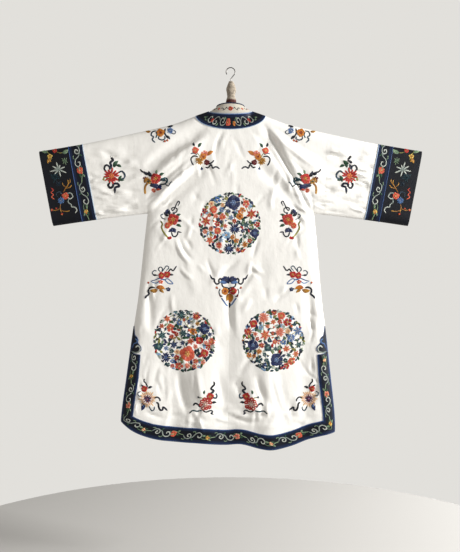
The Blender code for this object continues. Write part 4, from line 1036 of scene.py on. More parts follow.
def burst(kind, size, thread):
    """Narrow rays all round, of uneven length."""
    count, inner, outer, uneven, beat, width, full, steps, layers = BURSTS[kind]
    threads = THREADS[thread][:2]
    made = []
    for k in range(count):
        reach = size * (outer + uneven * math.sin(k * beat))
        turn = 2 * math.pi * k / count
        made.append(petal(size * inner, reach, size * width, turn, threads, full, steps, k % layers))
    return made


def leaf(size, thread):
    dark, light, rib = THREADS[thread]
    size = size * LEAF_GROWTH
    t = np.linspace(0, 1, 8)
    bow = LEAF_BOW * size * np.sin(math.pi * t)
    width = LEAF_HALF_WIDTH * size * np.sin(math.pi * t**LEAF_FULLNESS) ** LEAF_FULLNESS
    blade, vein = (np.stack([t * size * share, bow], 1) for share in (1, VEIN_REACH))
    return [
        (blade, np.maximum(width, THINNEST), (dark, light), 0.5, 0),
        (vein, np.full(8, 0.02 * size + 0.10), (rib, light), 1.0, 3),
    ]


def bud(size, thread):
    dark, light, heart = THREADS[thread]
    calyx = THREADS["green"][:2]
    return [
        petal(0, size, size * 0.46, 0.32, (dark, light), 0.6),
        petal(0, size, size * 0.46, -0.32, (dark, light), 0.6),
        petal(0, size * 1.08, size * 0.36, 0.0, (dark, heart), 0.6, 6, 3),
        petal(-size * 0.2, size * 0.4, size * 0.34, 0.0, calyx, 0.5, 5, 5),
    ]


def bamboo(size, thread):
    return [
        petal(0, size * reach, size * 0.17, math.radians(turn), THREADS[thread][:2], 0.35, 7, k % 3)
        for k, (turn, reach) in enumerate(BAMBOO_RAYS)
    ]


OTHER_KINDS = {"leaf": leaf, "bud": bud, "bamboo": bamboo}


def drawn(kind, size, thread):
    """The strokes of a flower or leaf of this size, round or from its foot at the origin."""
    if kind in OTHER_KINDS:
        return OTHER_KINDS[kind](size, thread)
    return (flower if kind in RINGS else burst)(kind, size, thread)


def ribbon(thread, width, points, layer=0):
    path = smooth(points, 5)
    t = np.linspace(0, 1, len(path))
    half = RIBBON_FULLNESS * width / 2 * np.clip(np.minimum(t, 1 - t) * RIBBON_TAPER + RIBBON_ENDS, 0, 1)
    return (path, half, THREADS[thread][:2], 1.0, layer)


def moved(strokes, x, y, turn=0.0, flip=1, layer=0):
    """Strokes turned, mirrored if flip is -1, then moved, and raised by some layers."""
    c, s = math.cos(turn), math.sin(turn)
    spin = np.array(((c, s), (-s, c)))
    return [
        (path @ spin * (flip, 1) + (x, y), half, threads, grain, over + layer)
        for path, half, threads, grain, over in strokes
    ]


def motif(rows):
    made = []
    for number, row in enumerate(rows):
        if row[0] in THREADS:
            thread, width, *points = row
            made.append(ribbon(thread, width, points, number))
            continue
        kind, x, y, turn, size, thread = row
        made += moved(drawn(kind, size, thread), x, y, math.radians(turn), 1, number * LAYERS_APART)
    return made


def centre_motif():
    half = motif(CENTRE_HALF)
    return half + moved(half, 0, 0, 0.0, -1) + moved(motif(CENTRE_MIDDLE), 0, 0, 0.0, 1, 20)


def roomiest(rng, placed, size, tries=60):
    """The place with most room for a flower of this size, out of some random ones in the circle."""
    best, most = None, -1e9
    for _ in range(tries):
        reach = (MEDALLION - size) * math.sqrt(rng.uniform(0, 1))
        turn = rng.uniform(0, 2 * math.pi)
        x, y = reach * math.cos(turn), reach * math.sin(turn)
        room = min((math.hypot(x - a, y - b) - r for a, b, r in placed), default=0.0)
        if room > most:
            best, most = (x, y), room
    return best


def roundel(seed):
    """A round medallion of flowers on curling stems, leaves and buds."""
    rng = np.random.default_rng(seed + settings().seed)
    spin = rng.uniform(0, 2 * math.pi)
    placed, made = [], []
    for count, kinds, size in ROUNDEL_FLOWERS:
        for k in range(count):
            reach = size * rng.uniform(*FLOWER_SPREAD)
            x, y = roomiest(rng, placed, reach)
            if placed:
                a, b, _ = min(placed, key=lambda p: math.hypot(x - p[0], y - p[1]))
                bend = rng.uniform(-STEM_BEND, STEM_BEND)
                middle = mix(x, a, 0.5) + bend * (y - b), mix(y, b, 0.5) + bend * (a - x)
                made.append(ribbon("olive", STEM_WIDTH, (a, b, *middle, x, y)))
            placed.append((x, y, reach))
            sector = int(((math.atan2(y, x) + spin) / (2 * math.pi) % 1) * len(ROUNDEL_SECTORS))
            threads = ROUNDEL_SECTORS[sector]
            kind, thread = kinds[k % len(kinds)], threads[rng.integers(len(threads))]
            made += moved(drawn(kind, reach, thread), x, y, rng.uniform(0, 6), 1, 8)
    threads = ROUNDEL_LEAF_THREADS
    for k in range(ROUNDEL_LEAVES):
        size = rng.uniform(*LEAF_SIZES)
        x, y = roomiest(rng, placed, size * 0.4, 30)
        turn = rng.uniform(0, 2 * math.pi)
        kind = "bud" if k % 5 == 4 else "leaf"
        middle = (x - size / 2 * math.cos(turn), y - size / 2 * math.sin(turn))
        made += moved(drawn(kind, size, threads[k % len(threads)]), *middle, turn, 1, 2)
        placed.append((x, y, size * 0.3))
    for k in range(ROUNDEL_EDGE_LEAVES):
        turn = 2 * math.pi * (k + rng.uniform(-0.2, 0.2)) / ROUNDEL_EDGE_LEAVES
        x, y = ((MEDALLION - EDGE_LEAF_INSET) * way for way in (math.cos(turn), math.sin(turn)))
        strokes = leaf(rng.uniform(*EDGE_LEAF_SIZES), threads[(k * 3) % len(threads)])
        made += moved(strokes, x, y, turn + EDGE_LEAF_TURN, 1, 5)
    return made


def scroll(length, offset=0):
    """Scrollwork for a border of this length in millimetres."""
    made = []
    units = max(1, round(length / SCROLL_LENGTH))
    pitch = length / units
    for k in range(units):
        stretch = pitch / SCROLL_LENGTH, 1 if k % 2 else -1
        kind, thread, size = SCROLL_FLOWERS[(k + offset) % len(SCROLL_FLOWERS)]
        repeat = motif(SCROLL_UNIT) + moved(drawn(kind, size, thread), *SCROLL_FLOWER_PLACE, 0.3, 1, 20)
        made += [(path * stretch + (k * pitch, 0), *others) for path, *others in repeat]
    return made


def domed(path, half, codes, grain, layer):
    """The grid of a stroke: places in millimetres, heights, colours, thread numbers and faces."""
    run = run_of(path)[:, None]
    along = unit(np.gradient(path, axis=0))
    aside = np.stack([-along[:, 1], along[:, 0]], 1)
    wide = half.max()
    offsets = np.array((-1, 0, 1) if wide < NARROW else (-1, -0.55, 0, 0.55, 1))
    across = half[:, None] * offsets
    dome = np.sqrt(1 - offsets**2) * np.minimum(half / wide + LEAST_DOME, 1)[:, None]
    rise = settings().floss_height * min(1.0, THIN_STROKE_RISE + wide / 4)
    lift = dome * rise + EDGE_LIFT + LAYER * layer * (dome > 0)
    base, tip = (np.array(linear(code)) for code in codes)
    tint = mix(base, tip, run[..., None] / max(run[-1, 0], TINY))
    tints = np.broadcast_to(tint, (*dome.shape, 3)).reshape(-1, 3)
    places = (path[:, None] + aside[:, None] * across[..., None]).reshape(-1, 2)
    threads = grain * run + (1 - 0.6 * grain) * across
    return places, lift.ravel(), tints, threads.ravel(), grid_faces(*dome.shape)


def floss(name, batches):
    """One mesh of domed strokes. A batch is strokes with a function from millimetres to points and
    directions out of the cloth, given the height over it."""
    points, faces, tints, threads = [], [], [], []
    count = 0
    for strokes, onto in batches:
        places, lift, tint, thread, quads = zip(*(domed(*stroke) for stroke in strokes))
        starts = np.cumsum([0, *(len(part) for part in lift[:-1])])
        quads = np.vstack([part + start for part, start in zip(quads, starts)])
        made, out = onto(*np.vstack(places).T, np.concatenate(lift))
        wrong = (face_normals(made, quads) * out[quads[:, 0]]).sum(1) < 0
        quads[wrong] = quads[wrong][:, ::-1]
        points.append(made)
        faces.append(quads + count)
        tints += tint
        threads += thread
        count += len(made)
    obj = make_object(name, np.vstack(points), np.vstack(faces), material("floss"), sharp=False)
    colour = obj.data.attributes.new("floss", "FLOAT_COLOR", "POINT")
    tints = np.hstack([np.vstack(tints), np.ones((count, 1))])
    colour.data.foreach_set("color", tints.astype(np.float32).ravel())
    set_value(obj, "thread", np.concatenate(threads))
    return fit(obj)


def onto_face(x0, z0, face, mirror=1, more=0.0):
    """Places motifs on the back or the front. Seen from outside, +x of a motif goes right."""

    def onto(across, up, lift):
        return surface(x0 + mirror * across * MM, z0 + up * MM, face, lift + more)

    return onto


def onto_strip(place, length, width, face, more):
    """Places scrollwork on a border: millimetres along it and across from its middle."""

    def onto(along, across, lift):
        return surface(*place(along * MM / length, 0.5 + across * MM / width), face, lift + more)

    return onto


# Materials


def plug(tree, made, inputs):
    """Gives a node's inputs values, or links them to other nodes' outputs."""
    for key, value in inputs.items():
        if isinstance(value, bpy.types.NodeSocket):
            tree.links.new(value, made.inputs[key])
        else:
            made.inputs[key].default_value = value
    return made


def node(tree, kind, inputs, **choices):
    made = tree.nodes.new(kind)
    for name, value in choices.items():
        setattr(made, name, value)
    return plug(tree, made, inputs).outputs


def new_material(name, colour, roughness, more=()):
    made = bpy.data.materials.new(name)
    made.use_nodes = True
    shader = made.node_tree.nodes["Principled BSDF"]
    plug(made.node_tree, shader, {"Base Color": (*colour, 1), "Roughness": roughness, **dict(more)})
    return made, made.node_tree, shader


def noise(tree, scale, detail=3.0, stretch=(1, 1, 1), rough=0.5):
    """Noise over the object's own coordinates."""
    place = node(tree, "ShaderNodeTexCoord", {})["Object"]
    place = node(tree, "ShaderNodeMapping", {"Vector": place, "Scale": stretch})["Vector"]
    grain = {"Vector": place, "Scale": scale, "Detail": detail, "Roughness": rough}
    return node(tree, "ShaderNodeTexNoise", grain)["Fac"]


def ramp(tree, value, stops):
    """A colour for each value, through stops of place and colour."""
    colour = node(tree, "ShaderNodeValToRGB", {"Fac": value})["Color"]
    elements = colour.node.color_ramp.elements
    while len(elements) < len(stops):
        elements.new(0.5)
    for element, (place, tone) in zip(elements, stops):
        element.position = place
        element.color = (*tone, 1)
    return colour


def bump(tree, shader, height, strength, distance, below=None):
    inputs = {"Height": height, "Strength": strength, "Distance": distance}
    if below is not None:
        inputs["Normal"] = below
    normal = node(tree, "ShaderNodeBump", inputs)["Normal"]
    plug(tree, shader, {"Normal": normal})
    return normal


def weave(tree, pitch):
    """Fine threads both ways over the object's own coordinates."""
    waves = {"Vector": node(tree, "ShaderNodeTexCoord", {})["Object"], "Scale": WAVE_SCALE / pitch}
    both = [node(tree, "ShaderNodeTexWave", waves, bands_direction=way)["Fac"] for way in ("X", "Z")]
    return node(tree, "ShaderNodeMath", dict(enumerate(both)), operation="ADD")[0]


def satin(name, warm, cool, roughness, wrinkle):
    """Glossy woven silk with slubs, fine wrinkles and a slow change between two tones."""
    sheen = {"Specular IOR Level": 0.55, "Sheen Weight": 0.12, "Sheen Roughness": 0.4, "Anisotropic": 0.35}
    made, tree, shader = new_material(name, warm, roughness, sheen)
    plug(tree, shader, {"Base Color": ramp(tree, noise(tree, 5.0, 2.0), ((0.3, cool), (0.7, warm)))})
    threads = bump(tree, shader, weave(tree, 0.0006), 0.10, 0.0002)
    slubs = bump(tree, shader, noise(tree, 90, 4.0, (1, 1, 0.25)), 0.12, 0.002, threads)
    bump(tree, shader, noise(tree, 24, 3.0, (1, 1, 0.6), 0.55), wrinkle, 0.006, slubs)
    return made


def border_silk(name, middle, edge, line, line_width):
    """Dark silk whose middle is darker than its edges, with a coloured line along both edges."""
    made, tree, shader = new_material(name, middle, 0.5, {"Specular IOR Level": 0.25})
    across = node(tree, "ShaderNodeAttribute", {}, attribute_name="across")["Fac"]
    places = (0, line_width, line_width + 0.02, 0.17, 0.24, 0.76, 0.83, 0.98 - line_width, 1 - line_width)
    colours = (line, line, edge, edge, middle, middle, edge, edge, line)
    plug(tree, shader, {"Base Color": ramp(tree, across, tuple(zip(places, colours)))})
    threads = bump(tree, shader, weave(tree, 0.0007), 0.2, 0.0002)
    bump(tree, shader, noise(tree, 160, 4.0), 0.12, 0.001, threads)
    return made


def floss_silk(name):
    """Silk in each stroke's own colour, with twisted threads across or along the stroke."""
    made, tree, shader = new_material(name, (0.5, 0.5, 0.5), 0.50, {"Specular IOR Level": 0.3})
    tint = node(tree, "ShaderNodeAttribute", {}, attribute_name="floss")["Color"]
    thread = node(tree, "ShaderNodeAttribute", {}, attribute_name="thread")["Fac"]
    shade = ramp(tree, noise(tree, 420, 2.0), ((0.3, (0.8, 0.8, 0.8)), (0.7, (1, 1, 1))))
    both = {"Factor": 1.0, "A": tint, "B": shade}
    tinted = node(tree, "ShaderNodeMix", both, data_type="RGBA", blend_type="MULTIPLY")["Result"]
    plug(tree, shader, {"Base Color": tinted})
    turns = node(tree, "ShaderNodeMath", {0: thread, 1: 2 * math.pi / THREAD_PITCH}, operation="MULTIPLY")[0]
    bump(tree, shader, node(tree, "ShaderNodeMath", {0: turns}, operation="SINE")[0], 0.5, 0.0003)
    return made


def plain_cloth(name, colour, roughness, grain, strength):
    made, tree, shader = new_material(name, colour, roughness)
    dark = [c * 0.6 for c in colour]
    plug(tree, shader, {"Base Color": ramp(tree, noise(tree, grain / 3, 4.0), ((0.3, dark), (0.7, colour)))})
    bump(tree, shader, noise(tree, grain, 4.0), strength, 0.001)
    return made


def grained_wood(name, dark, light):
    made, tree, shader = new_material(name, light, 0.5)
    rings = noise(tree, 30, 5.0, (0.2, 3, 3))
    plug(tree, shader, {"Base Color": ramp(tree, rings, ((0.35, dark), (0.65, light)))})
    return made


def dark_steel(name):
    made, tree, shader = new_material(name, (0.16, 0.15, 0.14), 0.36, {"Metallic": 1.0})
    bump(tree, shader, noise(tree, 300, 3.0), 0.1, 0.0004)
    return made


FINISHES = {
    "silk": (satin, "ivory satin", (0.93, 0.915, 0.875), (0.88, 0.865, 0.825), 0.32, 0.40),
    # The collar's silk is cream, and its colour is also darkened as painted shade, as if the standing collar
    # sat in shade
    "lining": (satin, "cream collar silk", (0.62, 0.575, 0.49), (0.54, 0.50, 0.42), 0.45, 0.2),
    "border": (
        border_silk, "navy border silk",
        (0.0022, 0.004, 0.01), (0.005, 0.0125, 0.042), (0.06, 0.15, 0.4), 0.02,
    ),
    "cuff": (border_silk, "ink cuff silk", (0.0022, 0.003, 0.006), *[(0.0026, 0.0036, 0.008)] * 2, 0.01),
    "floss": (floss_silk, "silk floss"),
    "piping": (plain_cloth, "navy piping", (0.008, 0.018, 0.060), 0.5, 900, 0.3),
    "blue_piping": (plain_cloth, "blue piping", (0.026, 0.075, 0.235), 0.5, 900, 0.3),
    "pale_piping": (plain_cloth, "pale piping", (0.42, 0.55, 0.72), 0.5, 900, 0.3),
    "stitching": (plain_cloth, "ivory thread", (0.70, 0.66, 0.56), 0.55, 900, 0.2),
    "wrap": (plain_cloth, "wrapping strip", (0.50, 0.43, 0.34), 0.9, 420, 0.7),
    "binding": (plain_cloth, "maroon binding", (0.10, 0.022, 0.018), 0.8, 420, 0.5),
    "wood": (grained_wood, "hanger wood", (0.24, 0.14, 0.07), (0.44, 0.28, 0.15)),
    "steel": (dark_steel, "hook steel"),
}
MADE = {}


def material(key):
    """A material of this script, made when it is first asked for."""
    if key not in MADE:
        maker, *values = FINISHES[key]
        MADE[key] = maker(*values)
    return MADE[key]


# Geometry nodes


def new_tree(name, **inputs):
    """A geometry node group with named inputs, and those inputs' outlets inside it."""
    tree = bpy.data.node_groups.new(name, "GeometryNodeTree")
    for label, kind in {"Geometry": "Geometry", **inputs, "Material": "Material"}.items():
        tree.interface.new_socket(label, in_out="INPUT", socket_type=f"NodeSocket{kind}")
    tree.interface.new_socket("Geometry", in_out="OUTPUT", socket_type="NodeSocketGeometry")
    given = node(tree, "NodeGroupInput", {})
    return tree, given, node(tree, "GeometryNodeMeshToCurve", {"Mesh": given["Geometry"]})["Curve"]


def finish_tree(tree, given, shape):
    soft = node(tree, "GeometryNodeSetShadeSmooth", {"Geometry": shape})[0]
    real = node(tree, "GeometryNodeRealizeInstances", {"Geometry": soft})[0]
    painted = node(tree, "GeometryNodeSetMaterial", {"Geometry": real, "Material": given["Material"]})[0]
    node(tree, "NodeGroupOutput", {"Geometry": painted})
    return tree


def cord_tree():
    """A round cord along the edges of a mesh."""
    tree, given, path = new_tree("cord", Radius="Float", Sides="Int")
    circle = {"Resolution": given["Sides"], "Radius": given["Radius"]}
    ring = node(tree, "GeometryNodeCurvePrimitiveCircle", circle)["Curve"]
    swept = {"Curve": path, "Profile Curve": ring, "Fill Caps": True}
    return finish_tree(tree, given, node(tree, "GeometryNodeCurveToMesh", swept)["Mesh"])


def stitch_tree():
    """Short stitches at even spacing along the edges of a mesh, lying along them."""
    tree, given, path = new_tree("stitches", Spacing="Float", Length="Float", Radius="Float")
    spaced = {"Curve": path, "Length": given["Spacing"]}
    spots = node(tree, "GeometryNodeCurveToPoints", spaced, mode="LENGTH")
    bead = node(tree, "GeometryNodeMeshUVSphere", {"Segments": 5, "Rings": 3, "Radius": 1.0})["Mesh"]
    size = {"X": given["Radius"], "Y": given["Radius"], "Z": given["Length"]}
    size = node(tree, "ShaderNodeCombineXYZ", size)["Vector"]
    stitch = node(tree, "GeometryNodeTransform", {"Geometry": bead, "Scale": size})["Geometry"]
    placed = {"Points": spots["Points"], "Rotation": spots["Rotation"], "Instance": stitch}
    return finish_tree(tree, given, node(tree, "GeometryNodeInstanceOnPoints", placed)["Instances"])


def grown(name, paths, tree, values):
    """Runs a node tree on paths of points, and leaves its result as a plain mesh."""
    points, edges = [], []
    for path in paths:
        first = len(points)
        points += [tuple(point) for point in path]
        edges += [(i, i + 1) for i in range(first, len(points) - 1)]
    guide = bpy.data.meshes.new(name)
    guide.from_pydata(points, edges, [])
    obj = linked(name, guide)
    nodes = obj.modifiers.new("grow", "NODES")
    nodes.node_group = tree
    for item in tree.interface.items_tree:
        if item.in_out == "INPUT" and item.name in values:
            nodes[item.identifier] = values[item.name]
    bpy.context.view_layer.update()
    graph = bpy.context.evaluated_depsgraph_get()
    mesh = bpy.data.meshes.new_from_object(obj.evaluated_get(graph), depsgraph=graph)
    if not len(mesh.polygons):
        raise RuntimeError(f"{name} came out empty")
    obj.modifiers.remove(nodes)
    obj.data = mesh
    bpy.data.meshes.remove(guide)
    mesh.name = name
    return obj


def cord(name, paths, radius, key, sides=8):
    return grown(name, paths, tree_of("cord"), {"Radius": radius, "Sides": sides, "Material": material(key)})


def stitches(name, paths, spacing, length, radius, key):
    values = {"Spacing": spacing, "Length": length / 2, "Radius": radius, "Material": material(key)}
    return grown(name, paths, tree_of("stitches"), values)


def tree_of(kind):
    return bpy.data.node_groups.get(kind) or {"cord": cord_tree, "stitches": stitch_tree}[kind]()


def fit(obj, *nodes, slot=None):
    """The piece rides on the part, in place of these solids."""
    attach(obj, "root")
    if nodes:
        obj.name = f"{nodes[0]}_made"
        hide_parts(*nodes)
    return obj


def settings():
    return bpy.context.scene.robe_settings


class RobeSettings(bpy.types.PropertyGroup):
    fold_strength: bpy.props.FloatProperty(
        name="Crease strength", description="Share of the creases' full height", default=2.0, min=0, max=3
    )
    floss_height: bpy.props.FloatProperty(
        name="Floss height",
        description="How far padded satin stitch stands out from the cloth",
        default=0.0008,
        subtype="DISTANCE",
        unit="LENGTH",
    )
    columns: bpy.props.IntProperty(name="Columns", description="Columns from neck to side", default=44)
    chest_rows: bpy.props.IntProperty(name="Chest rows", description="Rows down to the underarm", default=72)
    torso_rows: bpy.props.IntProperty(name="Torso rows", description="Rows below the underarm", default=150)
    stitch_spacing: bpy.props.FloatProperty(
        name="Stitch spacing",
        description="From one seam stitch to the next",
        default=0.0042,
        subtype="DISTANCE",
        unit="LENGTH",
    )
    seed: bpy.props.IntProperty(name="Seed", description="Seed of the roundels' flowers", default=7)


def seam_path(side, face, column, lift):
    """A path down one face of the sleeve, along a column of SLEEVE_COLUMNS."""
    tops, feet = sleeve_span(column, column, 1)
    x, z = (part[1:-1, 0] for part in chest_places(tops, feet, face))
    return surface(side * x, z, face, lift)[0]


def ring_path(side, column, lift):
    back, front = (seam_path(side, face, column, lift) for face in (BACK, FRONT))
    return np.vstack([back, front[::-1], back[:1]])


def strip_edge(place, across, face, lift, rows, margin=0.0):
    """A line along a strip at this share across it, which starts and ends this share from its ends."""
    along = np.linspace(margin, 1 - margin, rows)
    return surface(*place(along, np.full(rows, across)), face, lift)[0]


class RobePiece(bpy.types.Operator):
    bl_options = {"REGISTER", "UNDO"}

    def execute(self, context):
        self.build()
        return {"FINISHED"}


class ROBE_OT_panels(RobePiece):
    """Add the back and front panels with their creases"""

    bl_idname = "robe.panels"
    bl_label = "Panels"

    def build(self):
        panels = ("back_left", LEFT, BACK), ("back_right", RIGHT, BACK), ("front_under", RIGHT, FRONT)
        for name, side, face in panels:
            fit(add_panel(name, side, face), name, slot="silk")
        over, right = add_panel("front_over", LEFT, FRONT), overlap()
        with bpy.context.temp_override(active_object=over, selected_editable_objects=[over, right]):
            bpy.ops.object.join()
        fit(over, "front_over", slot="silk")


class ROBE_OT_sleeves(RobePiece):
    """Add the sleeves, their borders and their cuffs"""

    bl_idname = "robe.sleeves"
    bl_label = "Sleeves"

    def build(self):
        for side, side_name in ((LEFT, "left"), (RIGHT, "right")):
            # Name, first and last of SLEEVE_COLUMNS, columns, how far it stands out, finish, slot
            for kind, first, last, count, proud, key, slot in (
                ("sleeve", SEAM, BORDER, 30, 0.0, "silk", "silk"),
                ("sleeve_border", BORDER, CUFF, 14, BORDER_PROUD, "border", "navy_border"),
                ("cuff", CUFF, END, 18, CUFF_PROUD, "cuff", "cuff_silk"),
            ):
                name = f"{kind}_{side_name}"
                fit(add_tube(name, side, first, last, count, proud, key), name, slot=slot)


class ROBE_OT_borders(RobePiece):
    """Add the neckband, the vent and hem borders and their piping"""

    bl_idname = "robe.borders"
    bl_label = "Borders"

    def build(self):
        for name, face, first, last in (
            ("neckband_back", BACK, -90, 90),
            ("neckband_front_left", FRONT, -90, -0.2),
            ("neckband_front_right", FRONT, 0.2, 90),
        ):
            strip = add_strip(name, neckband_places(face, first, last), face, np.linspace(0, 1, 60), 12)
            fit(strip, name, slot="navy_border")
        shares, _ = border_middle()
        for name, face in (("border_back", BACK), ("border_front", FRONT)):
            fit(add_strip(name, border_places(), face, shares, 11), name, slot="navy_border")
        self.piping()

    def piping(self):
        top = GAP + TRIM * PIPING_SEAT
        place = border_places()
        free = [strip_edge(place, 1.0, face, top, 400) for face in FACES]
        fold = [strip_edge(place, 0.0, face, 0.0002, 400, 0.004) for face in FACES]
        neck = [strip_edge(neckband_places(face), 1.0, face, top, 90, 0.01) for face in FACES]
        sleeve, wrist = ([ring_path(side, at, RING_LIFT) for side in (LEFT, RIGHT)] for at in (BORDER, CUFF))
        x = np.linspace(0.0, CLOSURE_BOUND_TO, 80)
        closure = [surface(x, closure_z(x) - CLOSURE_SHIFT, FRONT)[0]]
        # Name, paths, radius, finish, sides
        for name, paths, radius, key, sides in (
            ("border_piping", free, BORDER_RADIUS, "blue_piping", 6),
            ("hem_binding", fold, HEM_RADIUS, "piping", 6),
            ("neckband_piping", neck, NECKBAND_RADIUS, "pale_piping", 6),
            ("sleeve_piping", sleeve, SLEEVE_RADIUS, "pale_piping", 6),
            ("cuff_piping", wrist, CUFF_RADIUS, "blue_piping", 6),
            ("closure_binding", closure, CLOSURE_RADIUS, "piping", 8),
        ):
            fit(cord(name, paths, radius, key, sides))


def collar_point(turn, share, inwards=0.0):
    """A point of the collar: turn from the centre back, share from foot to top."""
    sine, cosine = np.sin(turn), np.cos(turn)
    face = np.where(cosine > 0, BACK, FRONT)
    away = np.abs(cosine)
    plan = unit(np.stack([sine / NECK_HALF_WIDTH, away / NECK_HALF_DEPTH], -1))
    foot_x = NECK_HALF_WIDTH * sine - COLLAR_INSET * plan[..., 0]
    foot_y = NECK_HALF_DEPTH * away - COLLAR_INSET * plan[..., 1]
    foot_z = NECK_SIDE_Z - of_face(face, NECK_DROP) * away + COLLAR_SEAT
    top_y = COLLAR_TOP_HALF_DEPTH * away
    high = COLLAR_SIDE_Z + of_face(face, COLLAR_TOP_RISE) * away
    x = mix(foot_x, COLLAR_TOP_HALF_WIDTH * sine, share) - inwards * plan[..., 0]
    y = mix(foot_y, top_y, share) - inwards * plan[..., 1]
    return np.stack([x, face * y, mix(foot_z, high, share)], -1)


class ROBE_OT_collar(RobePiece):
    """Add the standing collar and its piping"""

    bl_idname = "robe.collar"
    bl_label = "Collar"

    def build(self):
        slit = math.radians(COLLAR_SLIT_ANGLE)
        round_neck = np.linspace(slit - math.pi, math.pi - slit, 120)
        turn, share = np.meshgrid(round_neck, np.linspace(0, 1, 9), indexing="ij")
        points = collar_point(turn, share).reshape(-1, 3)
        outwards = (1, 1, 0), 0
        # The collar's silk colour is cream with painted shade mixed in
        collar = shell("collar", points, grid_faces(*turn.shape), -COLLAR_WALL, 0.0, outwards, "lining")
        fit(collar, "collar", slot="collar_silk")
        rim = collar_point(round_neck, 1.0, COLLAR_WALL / 2)
        rim[:, 2] += PIPING_RADIUS + GAP
        fit(cord("collar_piping", [rim], PIPING_RADIUS, "piping", 10), "collar_piping", slot="navy_border")
        foot = collar_point(round_neck, 0.06, -0.0006)
        fit(cord("collar_foot_piping", [foot], 0.0009, "pale_piping", 6))


def floss_batches(face):
    """The sprays of the back or the front, each on both sides, and the one in the middle."""
    batches = []
    for rows, x, z in BACK_PLACES:
        x, z = x * MM, z * MM
        swing = centre_x(z) if z < UNDERARM_Z else 0
        for mirror in (1, -1):
            if face == BACK or mirror == 1 or rows not in FRONT_SKIPS:
                batches.append((motif(rows), onto_face(mirror * x + swing, z, face, mirror)))
    batches.append((centre_motif(), onto_face(*CENTRE_PLACE, face, -face)))
    return batches


class ROBE_OT_embroidery(RobePiece):
    """Add the embroidered sprays, roundels, cuffs and scrollwork"""

    bl_idname = "robe.embroidery"
    bl_label = "Embroidery"

    def build(self):
        for name, face, roundels in (("back", BACK, BACK_ROUNDELS), ("front", FRONT, FRONT_ROUNDELS)):
            floss(f"sprays_{name}", floss_batches(face))
            batches = [(roundel(seed), onto_face(x * MM, z * MM, face)) for x, z, seed in roundels]
            floss(f"roundels_{name}", batches)
        self.cuffs()
        self.borders()
        self.collar()

    def cuffs(self):
        x, z = CUFF_PLACE
        places = [onto_face(side * x, z, face, side, CUFF_PROUD) for side, face in QUARTERS]
        floss("cuff_floss", [(motif(CUFF_MOTIF), place) for place in places])

    def sleeve_border(self, side):
        tops, feet = sleeve_span(BORDER, CUFF, 2)

        def place(along, across):
            top, foot = mix(*tops, across), mix(*feet, across)
            return side * mix(top, foot, along), mix(shoulder_z(top), underside_z(foot), along)

        return place

    def borders(self):
        length, width = SLEEVE_SCROLL
        batches = [
            (scroll(length / MM), onto_strip(self.sleeve_border(side), length, width, face, BORDER_PROUD))
            for side, face in QUARTERS
        ]
        _, length = border_middle()
        for face in FACES:
            strokes = moved(scroll(length / MM - 2 * SCROLL_START, 1), SCROLL_START, 0)
            batches.append((strokes, onto_strip(border_places(), length, width, face, GAP + TRIM)))
            batches.append(self.neckband(face))
            batches += [self.cloud_head(side, face) for side in (LEFT, RIGHT)]
        floss("border_floss", batches)

    def neckband(self, face):
        length, width = NECKBAND_SPREAD
        middle = length / MM / 2
        strokes = []
        for kind, key, size, place in NECKBAND_FLOWERS:
            strokes += moved(drawn(kind, size, key), middle + place, 1, 0.4, 1, 12)
        for flip in (-1, 1):
            strokes += moved(motif(NECKBAND_SCROLL), middle, 0, 0.0, flip)
        return strokes, onto_strip(neckband_places(face, -78, 78), length, width, face, GAP + TRIM)

    def cloud_head(self, side, face):
        """Pale curls in the cloud head of a vent."""
        edge = float(centre_x(CLOUD_Z) + side * body_half_width(CLOUD_Z))
        curls = [ribbon(thread, width, points) for thread, width, *points in CLOUD_CURLS]
        return curls, onto_face(edge, CLOUD_Z, face, -side, GAP + TRIM)

    def collar(self):
        """Flowers and sprigs round the standing collar."""

        def onto(along, up, lift):
            turn, share = along * MM / COLLAR_SPREAD[0], 0.5 + up * MM / COLLAR_SPREAD[1]
            step = 0.01
            here = collar_point(turn, share)
            aside = collar_point(turn + step, share) - here
            rise = collar_point(turn, share + step) - here
            out = np.cross(aside, rise)
            out = unit(out * np.sign((out[:, :2] * here[:, :2]).sum(1))[:, None])
            return here + out * lift[:, None], out

        strokes = moved(drawn("peony", 8, "red"), 0, 1)
        for side in (-1, 1):
            for k in range(4):
                strokes += moved(motif(COLLAR_SPRAY), COLLAR_REPEAT * k * side, 0, 0.0, side)
                if k:
                    strokes += moved(drawn("blossom", 5, "coral"), COLLAR_REPEAT * k * side, 1)
        floss("collar_floss", [(strokes, onto)])


class ROBE_OT_stitches(RobePiece):
    """Add the seam stitches"""

    bl_idname = "robe.stitches"
    bl_label = "Stitches"

    def build(self):
        place = border_places()
        seams = [
            seam_path(side, face, SEAM, STITCH_LIFT) + (side * SEAM_SIDE, 0, 0)
            for side, face in QUARTERS
        ]
        lift = GAP + TRIM + STITCH_LIFT
        hems = [strip_edge(place, HEM_STITCH_PLACE, face, lift, 400, 0.06) for face in FACES]
        for name, paths, key in (("sleeve", seams, "stitching"), ("border", hems, "blue_piping")):
            spacing = settings().stitch_spacing
            fit(stitches(f"{name}_stitches", paths, spacing, STITCH_LENGTH, STITCH_RADIUS, key))


